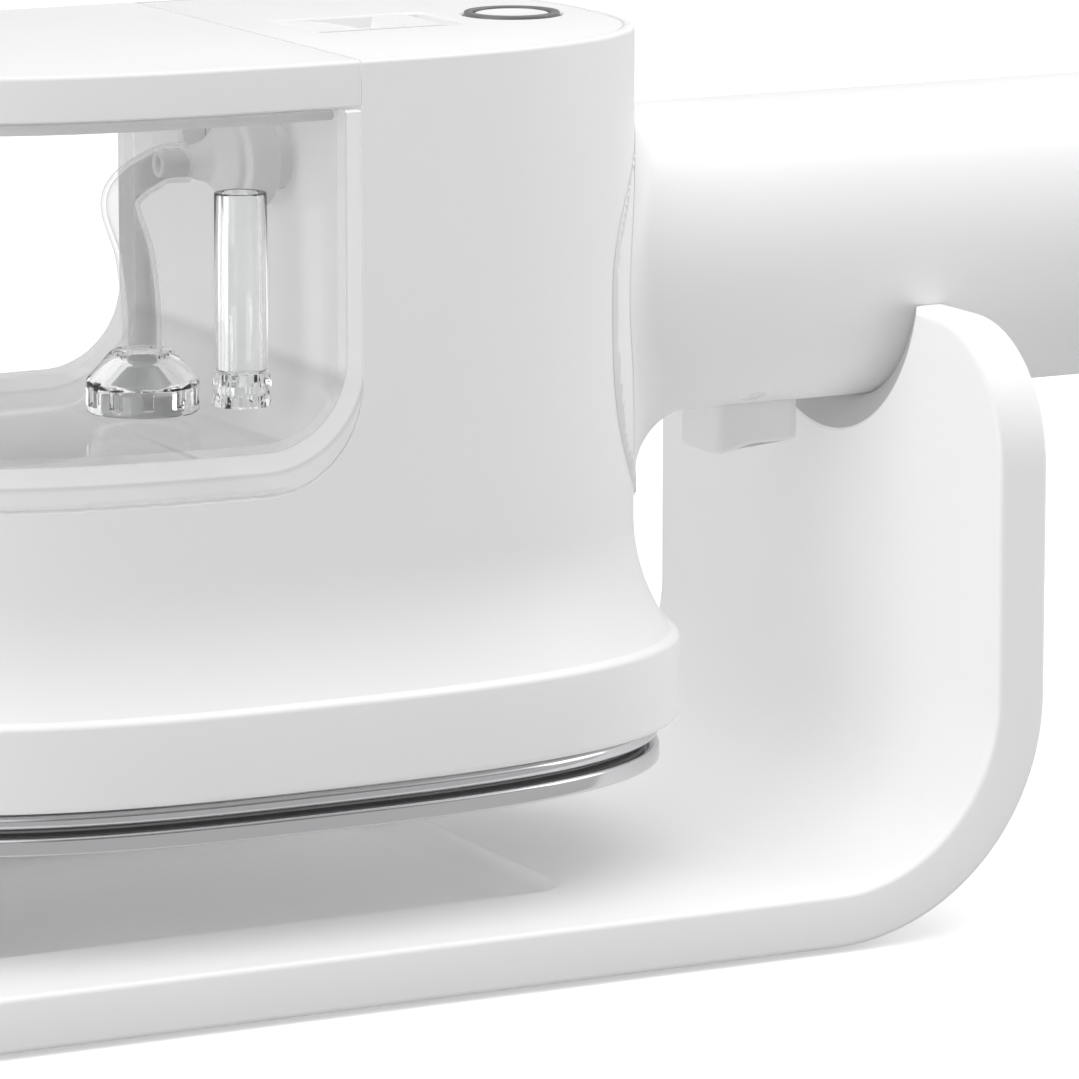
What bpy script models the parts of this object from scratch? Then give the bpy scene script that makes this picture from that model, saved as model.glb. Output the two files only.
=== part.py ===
"""Hand-held fabric steamer with a front water tank, parked on its bent-plate stand.

All sizes below are in millimetres; MM turns them into metres when a mesh is made.
+X runs from the nose of the head to the end of the handle, +Z is up, and the origin
lies under the middle of the whole object, on the surface that it stands on.
"""
import math

import bmesh
import bpy
from mathutils import Matrix, Vector

MM = 0.001
GAP = 0.3                      # clearance between pieces that touch or fit

# Stand: one plate, bent up at the handle end, with a cradle cut in its upright.
STAND_WIDTH = 95.4
STAND_LEFT = -118.5
PLATE = 7.3                    # plate thickness
FOOT_PROUD = 0.8
PLATE_TOP = FOOT_PROUD + PLATE
UPRIGHT_X = 44.5               # inner face of the upright
UPRIGHT_TOP = 80.8
BEND_INNER = 24.0
STAND_CORNER = 18.0
CRADLE_MOUTH = 25.3            # cradle radius at its chamfered inner edge
CRADLE_CHAMFER = 3.0
POCKET_LEFT, POCKET_RIGHT = -98.5, -8.8
POCKET_HALF = 28.3
POCKET_DEPTH = 4.0

# Head: a superellipse in plan, with a flared skirt over the hot plate.
HEAD_X = -50.4
HEAD_HALF = 59.2
HEAD_WIDE = 35.7
HEAD_POWER = 2.77
HEAD_TOP = 121.0
LID_BOTTOM = 115.1
WALL = 2.4
SKIRT_BOTTOM = 28.4
SKIRT_BAND_TOP = 39.5
SKIRT_FLARE = 5.8
FLARE_TOP = 56.0
DECK_TOP = 65.8                # floor of the tank bay
DECK = 2.6
PART_X = -42.9                 # plane where the tank meets the head
BAY_CORNER = 13.6
EDGE = 0.6                     # rounding of the top edges
RING = 40                      # facets round the head

# Hot plate stack, from the bottom up.
SOLE_OUT = 3.3                 # how far the metal stands outside the head's wall line
SOLE_BOTTOM, SOLE_TOP = 22.4, 24.8
SEAL_LOW, SEAL_HIGH = 25.1, 25.8
TRIM_LOW, TRIM_HIGH = 26.1, 28.1
CHAMBER_IN = -5.0
CHAMBER_TOP = 40.0
SHIELD_LOW, SHIELD_HIGH = 50.0, 52.0
SHIELD_SCREWS = ((-98.5, 0.0), (-50.0, -27.0), (-50.0, 27.0), (-4.0, 0.0))

# Handle: a straight tube whose flared root lands on the head's rear wall.
GRIP_Z = 86.9
GRIP = 21.0                    # outer radius
GRIP_BORE = 18.4
GRIP_END = 109.0
CAP_END = 113.5
GLAND_END = 118.5
ROOT_WIDE, ROOT_UP, ROOT_DOWN = 26.5, 24.2, 31.4
ROOT_POWER = 1.75              # how full the sweep of the root is

# Trigger, power button and tank latch.
TRIGGER_X = (24.5, 37.9)
TRIGGER_HALF = 5.5
TRIGGER_LOW = 59.7
BUTTON_X = -3.6
BUTTON = 5.0
RING_OUT = 6.4
LATCH_X = (-35.5, -16.5)
LATCH_HALF = 7.0
LATCH_TRAVEL = 2.8
LATCH_TONGUE = 3.6             # how far the latch reaches under the cover behind it

# Water tank and what stands in it.
TANK_WALL = 2.3
TANK_FLOOR = 71.8
TANK_TOP = 114.8
PORT_Z = 105.8
PORT_Y = -11.0
FILLER_Y = 12.0
FILTER_AT = (-60.5, -6.0)
VENT_AT = (-53.2, -21.0)
PUMP_AT = (-14.0, -11.0)

FINISHES = {
    "white": ((0.86, 0.86, 0.86), 0.45, 0.0),
    "light_grey": ((0.74, 0.74, 0.75), 0.40, 0.0),
    "clear": ((0.93, 0.95, 0.96), 0.05, 0.0),
    "grey_silicone": ((0.42, 0.42, 0.43), 0.55, 0.0),
    "dark": ((0.09, 0.09, 0.10), 0.50, 0.0),
    "polished": ((0.86, 0.86, 0.87), 0.15, 1.0),
    "cast": ((0.60, 0.61, 0.62), 0.45, 1.0),
    "steel": ((0.62, 0.62, 0.64), 0.28, 1.0),
    "brass": ((0.78, 0.60, 0.28), 0.30, 1.0),
    "copper": ((0.72, 0.36, 0.20), 0.35, 1.0),
    "board": ((0.05, 0.24, 0.13), 0.45, 0.0),
    "black": ((0.03, 0.03, 0.035), 0.45, 0.0),
}

BODIES = {}


# ---------------------------------------------------------------- building helpers
def rings_solid(rings, loop=False):
    """Skin a chain of equal rings; the ends are capped, or joined when loop is set."""
    bm = bmesh.new()
    rows = [[bm.verts.new(Vector(point)) for point in ring] for ring in rings]
    following = rows[1:] + ([rows[0]] if loop else [])
    for low, high in zip(rows, following):
        for i in range(len(low)):
            j = (i + 1) % len(low)
            bm.faces.new((low[i], low[j], high[j], high[i]))
    if not loop:
        bm.faces.new(rows[0][::-1])
        bm.faces.new(rows[-1])
    bmesh.ops.recalc_face_normals(bm, faces=bm.faces)
    return bm


def turned(profile, at, axis="Z", hollow=False, steps=16):
    """Turn (radius, height) pairs about an axis through the point at."""
    frames = {"Z": (0, 1, 2), "X": (1, 2, 0), "Y": (2, 0, 1)}
    first, second, along = frames[axis]
    rings = []
    for radius, height in profile:
        ring = []
        for i in range(steps):
            turn = 2 * math.pi * i / steps
            point = [0.0, 0.0, 0.0]
            point[first] = at[first] + radius * math.cos(turn)
            point[second] = at[second] + radius * math.sin(turn)
            point[along] = at[along] + height
            ring.append(point)
        rings.append(ring)
    return rings_solid(rings, loop=hollow)


def tube_wall(outer, inner, low, high, at, axis="Z", steps=16):
    """A plain sleeve."""
    profile = [(outer, low), (outer, high), (inner, high), (inner, low)]
    return turned(profile, at, axis, hollow=True, steps=steps)


def block(low, high, bevel=0.0, segments=2):
    """A box between two corners, with rounded edges when bevel is given."""
    bm = bmesh.new()
    size = Vector(high) - Vector(low)
    middle = (Vector(high) + Vector(low)) / 2
    bmesh.ops.create_cube(bm, size=1.0)
    bmesh.ops.scale(bm, vec=size, verts=bm.verts)
    bmesh.ops.translate(bm, vec=middle, verts=bm.verts)
    if bevel:
        bmesh.ops.bevel(bm, geom=bm.edges[:], offset=bevel, segments=segments, profile=0.5,
                        affect="EDGES")
    return bm


def upright_corner_block(low, high, corner, floor=0.0, segments=4):
    """A box whose vertical edges are rounded by corner and whose lower rim by floor."""
    bm = block(low, high)
    upright = [e for e in bm.edges if abs(e.verts[0].co.z - e.verts[1].co.z) > 0.01]
    bmesh.ops.bevel(bm, geom=upright, offset=corner, segments=segments, profile=0.5, affect="EDGES")
    if floor:
        rim = [e for e in bm.edges if max(v.co.z for v in e.verts) < low[2] + 0.01]
        bmesh.ops.bevel(bm, geom=rim, offset=floor, segments=2, profile=0.5, affect="EDGES")
    return bm


def prism_y(outline, low, high):
    """Extrude an outline of (x, z) points from y = low to y = high."""
    return rings_solid([[(x, y, z) for x, z in outline] for y in (low, high)])


def swept(path, radius, sides=8):
    """A round bar along a list of points, with its section square to the path."""
    points = [Vector(p) for p in path]
    rings = []
    side = None
    for i, point in enumerate(points):
        ahead = points[min(i + 1, len(points) - 1)] - points[max(i - 1, 0)]
        ahead.normalize()
        if side is None:
            side = ahead.orthogonal().normalized()
        side = (side - ahead * side.dot(ahead)).normalized()
        other = ahead.cross(side)
        ring = []
        for k in range(sides):
            turn = 2 * math.pi * k / sides
            ring.append(point + radius * (side * math.cos(turn) + other * math.sin(turn)))
        rings.append(ring)
    return rings_solid(rings)


def coil(start, axis, length, radius, wire, turns, steps=8):
    """A coil spring from start along axis."""
    along = Vector(axis)
    side = along.orthogonal().normalized()
    other = along.cross(side)
    path = []
    for i in range(turns * steps + 1):
        turn = 2 * math.pi * i / steps
        arm = side * math.cos(turn) + other * math.sin(turn)
        path.append(Vector(start) + along * (length * i / (turns * steps)) + arm * radius)
    return swept(path, wire, sides=4)


def smooth_path(knots, steps=4):
    """Points of a smooth curve through the knots."""
    points = []
    knots = [Vector(k) for k in knots]
    ends = [knots[0] * 2 - knots[1]] + knots + [knots[-1] * 2 - knots[-2]]
    for a, b, c, d in zip(ends, ends[1:], ends[2:], ends[3:]):
        for i in range(steps):
            t = i / steps
            points.append(0.5 * (2 * b + (c - a) * t + (2 * a - 5 * b + 4 * c - d) * t * t
                                 + (3 * b - a - 3 * c + d) * t ** 3))
    return points + [knots[-1]]


def joined(parts):
    """Several separate solids as one mesh."""
    whole = bmesh.new()
    for part in parts:
        mesh = bpy.data.meshes.new("piece")
        part.to_mesh(mesh)
        part.free()
        whole.from_mesh(mesh)
        bpy.data.meshes.remove(mesh)
    return whole


def to_object(name, bm, at):
    """Make an object whose origin is the point at."""
    bmesh.ops.translate(bm, vec=-Vector(at), verts=bm.verts)
    bmesh.ops.scale(bm, vec=(MM, MM, MM), verts=bm.verts)
    mesh = bpy.data.meshes.new(name)
    bm.to_mesh(mesh)
    bm.free()
    mesh.shade_smooth()
    mesh.set_sharp_from_angle(angle=math.radians(35))
    obj = bpy.data.objects.new(name, mesh)
    bpy.context.collection.objects.link(obj)
    obj.location = Vector(at) * MM
    return obj


def paint(obj, finish):
    """Give the piece a material of its own."""
    colour, roughness, metallic = FINISHES[finish]
    material = bpy.data.materials.new(obj.name)
    material.use_nodes = True
    shader = material.node_tree.nodes["Principled BSDF"]
    shader.inputs["Base Color"].default_value = (*colour, 1.0)
    shader.inputs["Roughness"].default_value = roughness
    shader.inputs["Metallic"].default_value = metallic
    if finish == "clear":
        shader.inputs["Transmission Weight"].default_value = 1.0
    obj.data.materials.append(material)


def body(name, at=(0, 0, 0)):
    """An empty that a moving group hangs from."""
    empty = bpy.data.objects.new(name + "_body", None)
    empty.location = Vector(at) * MM
    bpy.context.collection.objects.link(empty)
    BODIES[name] = empty


def piece(name, bm, finish, group, at=(0, 0, 0), cuts=()):
    """A finished piece: its solid, its cuts, its material and its group."""
    obj = to_object(name, bm, at)
    paint(obj, finish)
    for number, cut in enumerate(cuts):
        cutter = to_object("%s_cut_%d" % (name, number), cut, at)
        cutter.hide_render = True
        cutter.display_type = "WIRE"
        add_boolean(obj, cutter, "DIFFERENCE")
        hang(cutter, group)
    hang(obj, group)
    return obj


def add_boolean(obj, other, operation):
    modifier = obj.modifiers.new("cut", "BOOLEAN")
    modifier.object = other
    modifier.operation = operation
    modifier.solver = "EXACT"


def hang(obj, group):
    empty = BODIES[group]
    obj.parent = empty
    obj.matrix_parent_inverse = Matrix.Translation(empty.location).inverted()


# ---------------------------------------------------------------- shapes of the head
def plan_point(turn, offset):
    """A point of the head's plan, pushed out by offset."""
    c, s = math.cos(turn), math.sin(turn)
    power = 2 / HEAD_POWER
    x = HEAD_X + (HEAD_HALF + offset) * math.copysign(abs(c) ** power, c)
    y = (HEAD_WIDE + offset) * math.copysign(abs(s) ** power, s)
    return x, y


def plan_ring(offset, z):
    points = [plan_point(2 * math.pi * i / RING, offset) for i in range(RING)]
    return [(x, y, z) for x, y in points]


def wall_x(y):
    """Where the head's rear wall stands at a given y."""
    reach = min(1.0, abs(y / HEAD_WIDE))
    return HEAD_X + HEAD_HALF * (1 - reach ** HEAD_POWER) ** (1 / HEAD_POWER)


def chord_turn(limit, offset):
    """The turn at which the plan crosses the plane x = limit."""
    share = (limit - HEAD_X) / (HEAD_HALF + offset)
    return math.acos(math.copysign(abs(share) ** (HEAD_POWER / 2), share))


def front_ring(offset, z, limit, count=30):
    """The plan in front of x = limit, closed by a straight edge there."""
    start = chord_turn(limit, offset)
    turns = [start + (2 * math.pi - 2 * start) * i / (count - 1) for i in range(count)]
    return [(*plan_point(t, offset), z) for t in turns]


def rear_ring(offset, z, limit, count=22):
    """The plan behind x = limit, closed by a straight edge there."""
    start = chord_turn(limit, offset)
    turns = [-start + 2 * start * i / (count - 1) for i in range(count)]
    return [(*plan_point(t, offset), z) for t in turns]


def bay_limit(z, floor, radius, face):
    """How far back the tank reaches at height z, round its lower rear corner."""
    rise = z - floor
    if rise >= radius:
        return face
    return face - radius + math.sqrt(max(0.0, radius ** 2 - (radius - rise) ** 2))


def corner_heights(floor, radius, steps=5):
    angles = [math.pi / 2 * i / steps for i in range(steps + 1)]
    return [floor + radius * (1 - math.cos(a)) for a in angles]


def skirt_offset(z):
    """How far the outer wall stands outside the plan at height z."""
    if z >= FLARE_TOP:
        return 0.0
    if z <= SKIRT_BAND_TOP:
        return SKIRT_FLARE
    fall = (FLARE_TOP - z) / (FLARE_TOP - SKIRT_BAND_TOP)
    return (SKIRT_FLARE - 0.8) * fall ** 2.2


# ---------------------------------------------------------------- stand
def plate_stations():
    """Centre line of the plate: (x, z, half width, angle of its tangent)."""
    half = STAND_WIDTH / 2
    middle = PLATE / 2
    bend = BEND_INNER + middle
    bend_x = UPRIGHT_X - BEND_INNER
    bend_z = PLATE_TOP + BEND_INNER
    line = FOOT_PROUD + middle
    stations = []
    turns = [math.pi / 2 * i / 6 for i in range(7)]
    for turn in turns:
        away = STAND_CORNER * (1 - math.cos(turn))
        wide = half - STAND_CORNER * (1 - math.sin(turn))
        stations.append((STAND_LEFT + away, line, wide, 0.0))
    stations.append((bend_x, line, half, 0.0))
    for i in range(1, 11):
        turn = math.pi / 2 * i / 10
        x = bend_x + bend * math.sin(turn)
        z = bend_z - bend * math.cos(turn)
        stations.append((x, z, half, turn))
    for turn in reversed(turns):
        away = STAND_CORNER * (1 - math.cos(turn))
        wide = half - STAND_CORNER * (1 - math.sin(turn))
        stations.append((UPRIGHT_X + middle, UPRIGHT_TOP - away, wide, math.pi / 2))
    return stations


def stand_plate():
    rings = []
    for x, z, wide, turn in plate_stations():
        up_x, up_z = -math.sin(turn), math.cos(turn)
        h, e = PLATE / 2, 0.7
        section = [(-wide, -h + e), (-wide + e, -h), (wide - e, -h), (wide, -h + e),
                   (wide, h - e), (wide - e, h), (-wide + e, h), (-wide, h - e)]
        rings.append([(x + up_x * rise, y, z + up_z * rise) for y, rise in section])
    cradle = GRIP + GAP
    notch = [(CRADLE_MOUTH + 1.4, -1.0), (CRADLE_MOUTH, 0.0), (cradle, CRADLE_CHAMFER), (cradle, 9.0)]
    pocket = upright_corner_block((POCKET_LEFT, -POCKET_HALF, PLATE_TOP - POCKET_DEPTH),
                                  (POCKET_RIGHT, POCKET_HALF, PLATE_TOP + 3.0), 6.0, floor=2.5)
    cuts = [turned(notch, (UPRIGHT_X, 0, GRIP_Z), "X", steps=48), pocket]
    piece("stand_plate", rings_solid(rings), "white", "stand", cuts=cuts)


def stand_feet():
    for number, (x, y) in enumerate(((-104, -36), (-104, 36), (8, -36), (8, 36)), start=1):
        pad = turned([(5.4, 0.0), (6.0, 0.5)], (x, y, 0), steps=16)
        piece("stand_foot_%d" % number, pad, "grey_silicone", "stand")


def nose_rest():
    low = (-114.5, -22.0, PLATE_TOP + GAP)
    high = (-101.5, 22.0, SOLE_BOTTOM - GAP)
    piece("nose_rest", upright_corner_block(low, high, 4.0), "grey_silicone", "stand")


# ---------------------------------------------------------------- head casing
def head_shell():
    heights = [SKIRT_BOTTOM, SKIRT_BOTTOM + 1.2, SKIRT_BAND_TOP, 40.2, 43.0, 47.0, 51.0, FLARE_TOP]
    offsets = [SKIRT_FLARE - 0.6] + [skirt_offset(z) for z in heights[1:]]
    outer = [plan_ring(o, z) for o, z in zip(offsets, heights)]
    outer += [plan_ring(0.0, HEAD_TOP - EDGE), plan_ring(-EDGE, HEAD_TOP)]

    under = [(SKIRT_FLARE - WALL, SKIRT_BOTTOM - 2), (SKIRT_FLARE - WALL, SKIRT_BAND_TOP - 1),
             (-0.6, 45.0), (-WALL, FLARE_TOP), (-WALL, DECK_TOP - DECK)]
    lower_void = rings_solid([plan_ring(o, z) for o, z in under])

    face = PART_X + GAP / 2
    floor = DECK_TOP
    far = HEAD_X - HEAD_HALF - 20
    profile = [(bay_limit(z, floor, BAY_CORNER, face), z) for z in corner_heights(floor, BAY_CORNER)]
    outline = [(far, floor), *profile, (face, HEAD_TOP + 5), (far, HEAD_TOP + 5)]
    bay = prism_y(outline, -60, 60)

    rear = [rear_ring(-WALL, z, PART_X + WALL) for z in (DECK_TOP - DECK - 2.0, HEAD_TOP - 2.6)]
    rear_void = rings_solid(rear)
    rebate = rings_solid([rear_ring(-1.2, z, PART_X - 3) for z in (HEAD_TOP - 2.0, HEAD_TOP + 2)])
    grip_hole = turned([(GRIP_BORE - 1.5, -14.0), (GRIP_BORE - 1.5, 10.0)], (6, 0, GRIP_Z), "X", steps=28)
    socket_hole = turned([(7.0, -4.0), (7.0, 4.0)], (PART_X + 1, PORT_Y, PORT_Z), "X", steps=20)
    top_void = rings_solid([rear_ring(-WALL - 0.6, z, PART_X + WALL)
                            for z in (HEAD_TOP - 5.0, HEAD_TOP - 1.0)])
    cuts = [lower_void, bay, rear_void, rebate, top_void, grip_hole, socket_hole]
    piece("head_shell", rings_solid(outer), "white", "steamer", cuts=cuts)


def top_cover():
    low, high = HEAD_TOP - 1.7, HEAD_TOP
    edge = PART_X + GAP / 2
    plate = rings_solid([rear_ring(-1.5, z, edge) for z in (low, high)])
    ring_hole = turned([(RING_OUT + GAP, -5), (RING_OUT + GAP, 5)], (BUTTON_X, 0, HEAD_TOP), steps=24)
    slot = upright_corner_block((LATCH_X[0] - GAP, -LATCH_HALF - GAP, low - 2),
                                (LATCH_X[1] + LATCH_TRAVEL + GAP, LATCH_HALF + GAP, high + 2), 0.5, segments=1)
    piece("top_cover", plate, "white", "steamer", cuts=[ring_hole, slot])


# ---------------------------------------------------------------- handle
def root_radius(angle):
    """Radius of the handle's outline where it lands on the head; angle 0 points down."""
    down = math.cos(angle)
    height, power = (ROOT_DOWN, 3.3) if down > 0 else (ROOT_UP, 2.2)
    share = (abs(math.sin(angle)) / ROOT_WIDE) ** power + (abs(down) / height) ** power
    return share ** (-1 / power)


def grip_ring(x, sides):
    """The handle's outline at x: round, and swept out towards the head's wall."""
    ring = []
    for i in range(sides):
        angle = 2 * math.pi * i / sides
        flare = root_radius(angle) - GRIP
        low = (1 + math.cos(angle)) / 2
        reach = 3.3 + 10.1 * low - 1.4 * low ** 2
        start = wall_x((GRIP + 0.6 * flare) * math.sin(angle))
        share = min(1.0, max(0.0, (x - start) / reach))
        radius = GRIP + flare * (1 - (1 - (1 - share) ** ROOT_POWER) ** (1 / ROOT_POWER))
        ring.append((x, -radius * math.sin(angle), GRIP_Z - radius * math.cos(angle)))
    return ring


def handle_shell():
    sides = 32
    stations = [-14.0, -4.0, -1.0, 2.0, 4.5, 6.5, 8.7, 10.2, 12.0, 14.5, 18.0, 22.0, GRIP_END]
    outer = [grip_ring(x, sides) for x in stations]
    inner = []
    for x in (GRIP_END, -14.0):
        turns = [2 * math.pi * i / sides for i in range(sides)]
        inner.append([(x, -GRIP_BORE * math.sin(a), GRIP_Z - GRIP_BORE * math.cos(a)) for a in turns])
    head = rings_solid([plan_ring(GAP, z) for z in (40.0, 130.0)])
    slot = block((TRIGGER_X[0] - GAP, -TRIGGER_HALF - GAP, 55.0),
                 (TRIGGER_X[1] + GAP, TRIGGER_HALF + GAP, 76.0))
    lens_hole = turned([(1.8, 15.0), (1.8, 24.0)], (0, 0, 0), "Z", steps=12)
    place_lens(lens_hole)
    piece("handle_shell", rings_solid(outer + inner, loop=True), "white", "steamer",
          cuts=[head, slot, lens_hole])


def place_lens(bm):
    """Turn a small upright part so that it points out of the handle's underside."""
    tilt = Matrix.Rotation(math.radians(180 - 27), 4, "X")
    bmesh.ops.transform(bm, matrix=Matrix.Translation((28.3, 0, GRIP_Z)) @ tilt, verts=bm.verts)


def indicator_lens():
    lens = turned([(1.5, 17.0), (1.5, 20.6), (1.0, 21.0)], (0, 0, 0), "Z", steps=12)
    place_lens(lens)
    piece("indicator_lens", lens, "clear", "steamer")


def handle_end_cap():
    start = GRIP_END + GAP
    bore = 5.8
    profile = [(GRIP_BORE - GAP, start - 4.0), (GRIP_BORE - GAP, start), (GRIP, start), (GRIP, start + 1.4),
               (GRIP - 0.9, start + 3.2), (GRIP - 2.6, CAP_END), (bore, CAP_END), (bore, start - 2.0),
               (GRIP_BORE - 3.0, start - 2.0), (GRIP_BORE - 3.0, start - 4.0)]
    cap = turned(profile, (0, 0, GRIP_Z), "X", hollow=True, steps=32)
    piece("handle_end_cap", cap, "white", "steamer")


def cord_gland():
    inner, rim = 3.4, 5.5
    back = GRIP_END - 4.0
    profile = [(7.4, back), (7.4, GRIP_END - 2.0), (rim, GRIP_END - 2.0), (rim, CAP_END + 1.0),
               (4.9, GLAND_END), (inner, GLAND_END), (inner, back)]
    piece("cord_gland", turned(profile, (0, 0, GRIP_Z), "X", hollow=True), "grey_silicone", "steamer")


def handle_chassis():
    tray = block((16.0, -14.0, 84.0), (100.0, 14.0, 86.0))
    post = turned([(3.2, 0.0), (3.2, 13.5)], (18.5, 0, 71.0), steps=12)
    post_2 = block((42.0, -5.0, 72.0), (45.0, 5.0, 84.5))
    chassis = piece("handle_chassis", tray, "black", "steamer")
    for number, part in enumerate((post, post_2)):
        helper = to_object("chassis_post_%d" % number, part, (0, 0, 0))
        helper.hide_render = True
        helper.display_type = "WIRE"
        add_boolean(chassis, helper, "UNION")
        hang(helper, "steamer")


def control_board():
    piece("control_board", block((46.0, -12.0, 86.3), (96.0, 12.0, 87.9)), "board", "steamer")
    piece("power_relay", block((52.0, -8.0, 88.2), (67.0, 8.0, 98.0), 0.6, 1), "black", "steamer")
    fuse = turned([(2.6, -10.0), (2.6, 10.0)], (82, 0, 90.9), "X", steps=12)
    piece("board_fuse", fuse, "steel", "steamer")


def trigger_parts():
    low, high = TRIGGER_X
    middle = (low + high) / 2
    switch = block((27.5, -3.2, 76.5), (38.5, 3.2, 83.7), 0.4, 1)
    piece("trigger_switch", switch, "black", "steamer")
    shaft_top = 70.0
    span = high - low
    outline = [(low, shaft_top), (low, TRIGGER_LOW + 1.2), (low + 1.0, TRIGGER_LOW)]
    for i in range(1, 6):
        share = i / 6
        outline.append((low + span * share, TRIGGER_LOW + 1.5 * math.sin(math.pi * share * 0.7)))
    outline += [(high - 0.4, TRIGGER_LOW + 1.1), (high, TRIGGER_LOW + 1.6), (high, shaft_top)]
    outline += [(high + 2.2, shaft_top), (high + 2.2, 71.6), (low - 2.2, 71.6), (low - 2.2, shaft_top)]
    lever = prism_y(outline[::-1], -TRIGGER_HALF, TRIGGER_HALF)
    piece("trigger", lever, "light_grey", "trigger", at=(middle, 0, 71.6))
    spring = coil((24.6, 0, 72.3), (0, 0, 1), 11.0, 1.7, 0.3, 5)
    piece("trigger_spring", spring, "steel", "steamer", at=(24.6, 0, 72.3))


# ---------------------------------------------------------------- top controls
def power_button():
    seat = HEAD_TOP - 1.0
    ring = turned([(RING_OUT, -2.2), (RING_OUT, 1.2), (RING_OUT - 0.3, 1.4), (BUTTON + GAP + 0.1, 1.4),
                   (BUTTON + GAP, -2.2)], (BUTTON_X, 0, seat), hollow=True, steps=32)
    piece("button_ring", ring, "dark", "steamer")
    cap = turned([(BUTTON - 0.3, -2.6), (BUTTON, -2.2), (BUTTON, 1.0), (BUTTON - 0.5, 1.2)],
                 (BUTTON_X, 0, seat), steps=32)
    piece("power_button", cap, "white", "power_button", at=(BUTTON_X, 0, seat))
    spring = coil((BUTTON_X, 0, 113.4), (0, 0, 1), 3.5, 2.6, 0.3, 3)
    piece("button_spring", spring, "steel", "steamer", at=(BUTTON_X, 0, 113.4))
    piece("button_board", block((-11.0, -8.0, 111.2), (4.0, 8.0, 112.6)), "board", "steamer")
    piece("button_switch", block((-5.1, -1.5, 112.9), (-2.1, 1.5, 115.6)), "black", "steamer")


def release_latch():
    low, high = LATCH_X
    top = HEAD_TOP
    thumb = [(low, top - 1.9), (low, top - 0.3), (low + 0.5, top), (low + 3.0, top)]
    thumb += [(low + 8.0, top - 0.9), (low + 13.0, top - 1.6), (low + 13.5, top), (high - 0.5, top)]
    thumb += [(high, top - 0.3), (high, top - 1.9), (high + LATCH_TONGUE, top - 2.1), (high + LATCH_TONGUE, top - 3.4)]
    thumb += [(high - 5.0, top - 3.4), (high - 5.0, top - 6.5), (high - 7.0, top - 6.5)]
    thumb += [(high - 7.0, top - 3.4), (low - 1.0, top - 3.4), (low - 1.0, top - 2.1)]
    slider = prism_y(thumb, -LATCH_HALF + 0.2, LATCH_HALF - 0.2)
    piece("release_latch", slider, "white", "release_latch", at=(low, 0, top - 3.4))
    spring = coil((high - 4.6, 0, 115.9), (1, 0, 0), 5.0, 0.9, 0.25, 4)
    piece("latch_spring", spring, "steel", "steamer", at=(high - 4.6, 0, 115.9))


# ---------------------------------------------------------------- hot plate and chamber
def annulus(outer, inner, low, high):
    return rings_solid([plan_ring(outer, low), plan_ring(outer, high),
                        plan_ring(inner, high), plan_ring(inner, low)], loop=True)


def sole_stack():
    bead = [(SOLE_OUT - 0.9, SOLE_BOTTOM), (SOLE_OUT, SOLE_BOTTOM + 0.9), (SOLE_OUT, SOLE_TOP - 0.5),
            (SOLE_OUT - 0.5, SOLE_TOP)]
    sole = rings_solid([plan_ring(o, z) for o, z in bead])
    holes = []
    for x, y in steam_holes():
        holes.append(turned([(1.4, -4.0), (1.4, 4.0)], (x, y, SOLE_BOTTOM + 1), steps=8))
    piece("soleplate", sole, "polished", "steamer", cuts=[joined(holes)])
    piece("sole_seal", annulus(1.6, CHAMBER_IN + GAP, SEAL_LOW, SEAL_HIGH), "dark", "steamer")
    trim = rings_solid([plan_ring(SOLE_OUT - 0.4, TRIM_LOW), plan_ring(SOLE_OUT, TRIM_LOW + 0.5),
                        plan_ring(SOLE_OUT, TRIM_HIGH - 0.5), plan_ring(SOLE_OUT - 0.4, TRIM_HIGH),
                        plan_ring(-2.0, TRIM_HIGH), plan_ring(-2.0, TRIM_LOW)], loop=True)
    piece("sole_trim_ring", trim, "polished", "steamer")


def steam_holes():
    """Steam outlets on a smaller copy of the head's plan, and a few along the middle."""
    turns = [2 * math.pi * (i + 0.5) / 12 for i in range(12)]
    ringed = [plan_point(t, -15.0) for t in turns]
    return ringed + [(HEAD_X + step, 0.0) for step in (-18.0, 0.0, 18.0)]


def steam_chamber():
    low = SEAL_LOW
    roof = CHAMBER_TOP - 5.0
    outer = [plan_ring(CHAMBER_IN, low), plan_ring(CHAMBER_IN, CHAMBER_TOP - 1), plan_ring(CHAMBER_IN - 1, CHAMBER_TOP)]
    casting = rings_solid(outer)
    void = rings_solid([plan_ring(CHAMBER_IN - 5, low - 2), plan_ring(CHAMBER_IN - 5, roof)])
    inlet = turned([(1.5, -8.0), (1.5, 8.0)], (*PUMP_AT, CHAMBER_TOP), steps=10)
    piece("steam_chamber", casting, "cast", "steamer", cuts=[void, inlet])

    z = CHAMBER_TOP + 3.6
    reach = [(-12.0, -20.0), (-62.0, -19.0), (-84.0, -12.0), (-90.0, 0.0), (-84.0, 12.0), (-62.0, 19.0),
             (-12.0, 20.0)]
    bar = swept(smooth_path([(x, y, z) for x, y in reach], 3), 3.2, sides=8)
    piece("heating_element", bar, "steel", "steamer")
    thermostat = turned([(8.0, 0.0), (8.0, 3.0), (6.5, 3.6), (6.5, 8.0)], (-48, 0, CHAMBER_TOP + GAP), steps=18)
    piece("thermostat", thermostat, "black", "steamer")
    fuse = turned([(2.2, -9.0), (2.2, 9.0)], (-70, 0, CHAMBER_TOP + 2.6), "Y", steps=10)
    piece("thermal_fuse", fuse, "light_grey", "steamer")
    nozzle = turned([(4.0, 0.0), (4.0, 3.0), (2.2, 3.6), (2.2, 9.0), (1.1, 9.0), (1.1, 0.0)],
                    (*PUMP_AT, CHAMBER_TOP + GAP), hollow=True, steps=12)
    piece("steam_nozzle", nozzle, "brass", "steamer")


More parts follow.
